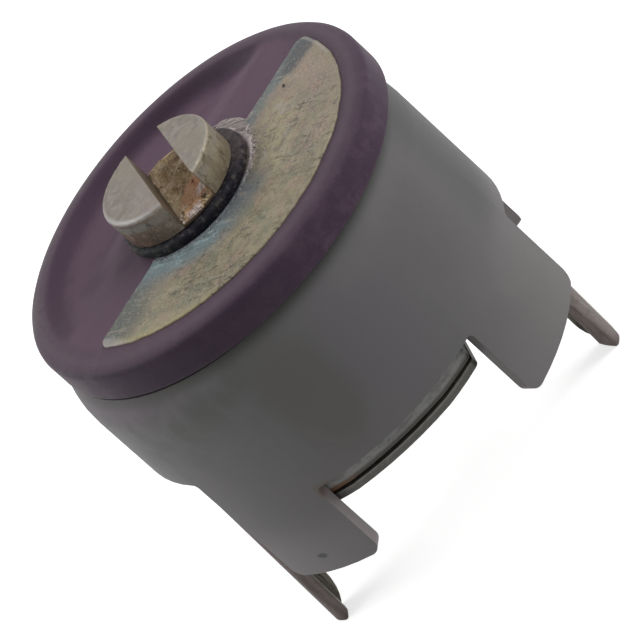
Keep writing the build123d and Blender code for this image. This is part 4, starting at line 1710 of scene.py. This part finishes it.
@dataclass
class SolderFringe:
    """The solder that feathers out from the washer over the film: a thin bead and short strands."""

    axis: tuple[float, float] = (0.06, -0.15)
    film_top: float = FILM_TOP
    radius: float = 1.80
    start: float = -146.0
    sweep: float = 190.0
    width: float = 0.11
    height: float = 0.045
    strands: int = 260
    segments: int = 320
    section_points: int = 14

    def bead(self, tree: Grower, arc: bpy.types.NodeSocket, weight: Sock) -> bpy.types.NodeSocket:
        """Sweeps a flat oval along the arc.

        Args:
            tree: The solder's tree.
            arc: The curve that the bead follows.
            weight: How thick the bead is at each place.

        Returns:
            The bead.
        """
        sockets = {"Resolution": self.section_points, "Radius": 1.0}
        oval = tree.node("GeometryNodeCurvePrimitiveCircle", {}, sockets).outputs[0]
        flat = tree.joined(tree.size("Width"), tree.size("Height"), 1.0)
        section = tree.node("GeometryNodeTransform", {}, {"Geometry": oval, "Scale": flat}).outputs[0]
        thick = tree.node("GeometryNodeSetCurveRadius", {}, {"Curve": arc, "Radius": weight}).outputs[0]
        sockets = {0: thick, 1: section, "Scale": weight, "Fill Caps": True}
        return tree.node("GeometryNodeCurveToMesh", {}, sockets).outputs[0]

    def build(self) -> None:
        """Grows the bead along its arc and lays the strands over it."""
        tree = Grower(
            "solder_ring",
            Radius=self.radius,
            Sweep=self.sweep,
            Strands=self.strands,
            Width=self.width,
            Height=self.height,
        )
        radius = tree.size("Radius")
        sockets = {
            "Resolution": self.segments,
            "Radius": radius,
            "Start Angle": math.radians(self.start),
            "Sweep Angle": tree.size("Sweep") * math.radians(1.0),
        }
        arc = tree.node("GeometryNodeCurveArc", {"mode": "RADIUS"}, sockets).outputs[0]
        place = tree.where()
        x, y, _ = tree.parts(place)
        angle = y.angle_with(x)
        right = angle.step(-0.9, 0.1)
        brushed = angle.step(0.05, 0.45)
        lumpy = tree.clouds(place, 2.4, detail=5.0, seed=2.0, rough=0.7)
        bead = self.bead(tree, arc, (0.35 + right * 0.75) * lumpy.step(0.25, 0.75) + 0.15)
        sockets = {0: arc, 1: tree.size("Strands")}
        row = tree.node("GeometryNodeCurveToPoints", {"mode": "COUNT"}, sockets).outputs[0]
        out = tree.chance(-0.02, 0.22, seed=11) * (0.30 + right * 0.60 + angle.step(0.1, 0.6) * 0.5)
        wide = 1.0 + out / radius
        spread = tree.moved(row, tree.joined(x * wide, y * wide, 0.0))
        length = tree.chance(0.03, 0.09, seed=12) + tree.chance(0.0, 0.12, seed=13) * right
        length = length + tree.chance(0.0, 0.12, seed=16) * brushed
        slim = tree.chance(0.008, 0.020, seed=14)
        turn = angle + tree.chance(-0.9, 0.9, seed=15) * (1.0 - brushed * 0.6) - brushed * 1.25
        strands = tree.scattered(spread, tree.ball(), turn, tree.joined(length, slim, slim * 1.3))
        placed = tree.shifted(tree.together(bead, strands), (*self.axis, self.film_top))
        seat(tree.grow(placed, FringeSolder().make()), Body.ROTOR, "solder", "solder_bead")


@dataclass(frozen=True)
class LumpRow:
    """A row of lumps of old flux: where it starts on the slot's bed, and the way to the next lump."""

    start: tuple[float, float, float]
    offset: tuple[float, float, float]


@dataclass
class SlotBed:
    """The rough bed of the slot, with crumbs and lumps of old flux on it."""

    axis: tuple[float, float] = (ROTOR_X, HEAD_SHIFT[1])
    head_offset: float = HEAD_SHIFT[0]
    floor_z: float = SLOT_FLOOR
    width: float = 0.95
    reach: float = 1.54
    rough: float = 0.15
    crumbs: float = 46.0
    lumps: int = 5
    rows: tuple[LumpRow, ...] = (
        LumpRow((-0.20, -1.50, 0.0), (0.075, -0.008, 0.0)),
        LumpRow((0.13, -1.22, 0.0), (0.062, 0.112, 0.01)),
    )
    across_points: int = 46
    along_points: int = 130

    def bed(self, tree: Grower) -> bpy.types.NodeSocket:
        """Shapes a thin uneven bed, whose ends follow the head's round.

        Args:
            tree: The bed's tree.

        Returns:
            The bed, its floor at height 0.
        """
        size = tree.joined(tree.size("Width"), 2.0, 1.0)
        sockets = {"Size": size, 1: self.across_points, 2: self.along_points, 3: 2}
        block = tree.node("GeometryNodeMeshCube", {}, sockets).outputs[0]
        x, y, z = tree.parts(tree.where())
        reach = tree.size("Reach")
        off = x - self.head_offset
        chord = (reach * reach - off * off).root()
        waves = tree.clouds(tree.joined(x, y * chord, 0.0), 2.2, detail=5.0, seed=5.0, rough=0.72)
        near = (-y).step(0.70, 0.95)
        high = (waves - 0.36).greater(0.0) * tree.size("Rough") * 1.6
        high = high + near * waves.step(0.40, 0.62) * 0.10
        edge = abs(x).step(0.475, 0.40) * abs(y).step(1.0, 0.93)
        up = z.step(-0.01, 0.01)
        height = up * (0.02 + high * (0.35 + edge * 0.65)) - (1.0 - up) * 0.03
        return tree.moved(block, tree.joined(x, y * chord, height))

    def build(self) -> None:
        """Makes the bed, scatters the crumbs over it and lays the lumps along their rows."""
        tree = Grower(
            "slot_bed",
            Width=self.width,
            Reach=self.reach,
            Rough=self.rough,
            Crumbs=self.crumbs,
            Lumps=self.lumps,
        )
        bed = self.bed(tree)
        _, y, z = tree.parts(tree.where())
        density = tree.size("Crumbs") * z.step(0.015, 0.03) * (0.4 + (-y).step(0.8, 1.4) * 2.0)
        sockets = {"Mesh": bed, "Density": density, "Seed": 4}
        points = tree.node("GeometryNodeDistributePointsOnFaces", {}, sockets).outputs[0]
        ball = tree.ball()
        big = tree.chance(0.015, 0.045, seed=21)
        scale = tree.joined(big, big * tree.chance(0.7, 1.6, seed=22), big * 0.7)
        crumbs = tree.scattered(points, ball, tree.chance(0.0, 3.0, seed=23), scale)
        rows = []
        for row in self.rows:
            sockets = {"Count": tree.size("Lumps"), "Start Location": row.start, "Offset": row.offset}
            rows.append(tree.node("GeometryNodeMeshLine", {"mode": "OFFSET"}, sockets).outputs[0])
        swell = tree.chance(0.040, 0.080, seed=31)
        scale = tree.joined(swell, swell * 0.8, swell * 0.7)
        lumps = tree.scattered(tree.together(*rows), ball, tree.chance(0.0, 3.0, seed=32), scale)
        placed = tree.shifted(tree.together(bed, crumbs, lumps), (*self.axis, self.floor_z))
        seat(tree.grow(placed, SlotDirt().make()), Body.ROTOR, "tinned_brass")


@dataclass
class HeadStack:
    """What holds the rotor: slotted spindle, spring washer and collar."""

    axis_x: float = ROTOR_X
    half_slot: float = HALF_SLOT
    head_radius: float = 1.565
    head_round: float = 0.05
    shift: tuple[float, float] = HEAD_SHIFT
    stem_cut: float = 7.55
    washer_top: float = 7.75
    spring_round: float = 0.015
    collar_round: float = 0.02

    def moved(self, x: float, y: float) -> tuple[float, float]:
        """Moves a point of the head: the round goes aside, while the walls of the slot stay in line.

        Args:
            x: Its place across the slot, from the stem's axis.
            y: Its place along the slot.

        Returns:
            Its new place.
        """
        off = self.shift[0]
        side = math.copysign(1.0, x)
        beyond = max(abs(x) - self.half_slot, 0.0)
        room = self.head_radius - self.half_slot
        new_x = x if beyond == 0.0 else side * (self.half_slot + beyond * (room + side * off) / room)
        chord = math.sqrt(max(x * x + y * y - (new_x - off) ** 2, 0.0))
        return new_x, self.shift[1] + math.copysign(chord, y)

    def spindle(self) -> bpy.types.Object:
        """Makes the spindle, its head set a little off its stem, and the slot still over the stem.

        Returns:
            The piece.
        """
        bench = merged_mesh("spindle")
        everything = [*bench.verts, *bench.edges, *bench.faces]
        cut = (0.0, 0.0, self.stem_cut)
        bmesh.ops.bisect_plane(bench, geom=everything, plane_co=cut, plane_no=(0.0, 0.0, 1.0))
        for vert in bench.verts:
            if vert.co.z > self.washer_top:
                x, y = self.moved(vert.co.x - self.axis_x, vert.co.y)
                vert.co.x = x + self.axis_x
                vert.co.y = y
        return finished(bench, "slotted_spindle", HeadMetal().make(), self.head_round)

    def build(self) -> None:
        """Makes the three pieces."""
        seat(self.spindle(), Body.ROTOR, "tinned_brass", "spindle")
        spring = merged_mesh("spring_washer")
        dished = finished(spring, "dished_washer", BARE_BRONZE.make(), self.spring_round)
        seat(dished, Body.ROTOR, "spring_bronze", "spring_washer")
        ring = merged_mesh("retaining_collar")
        collar = finished(ring, "end_collar", TINNED_BRASS.make(), self.collar_round)
        seat(collar, Body.ROTOR, "tinned_brass", "retaining_collar")


def main() -> None:
    """Builds the scene in order."""
    logging.basicConfig(level=logging.INFO, format="%(message)s")
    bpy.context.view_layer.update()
    assemblies = (
        Studio(),
        HousingShell(),
        StatorStack(),
        RotorDisc(),
        RotorFilm(),
        SolderFringe(),
        HubWasher(),
        HeadStack(),
        SlotBed(),
    )
    for assembly in assemblies:
        assembly.build()


if __name__ == "__main__":
    main()
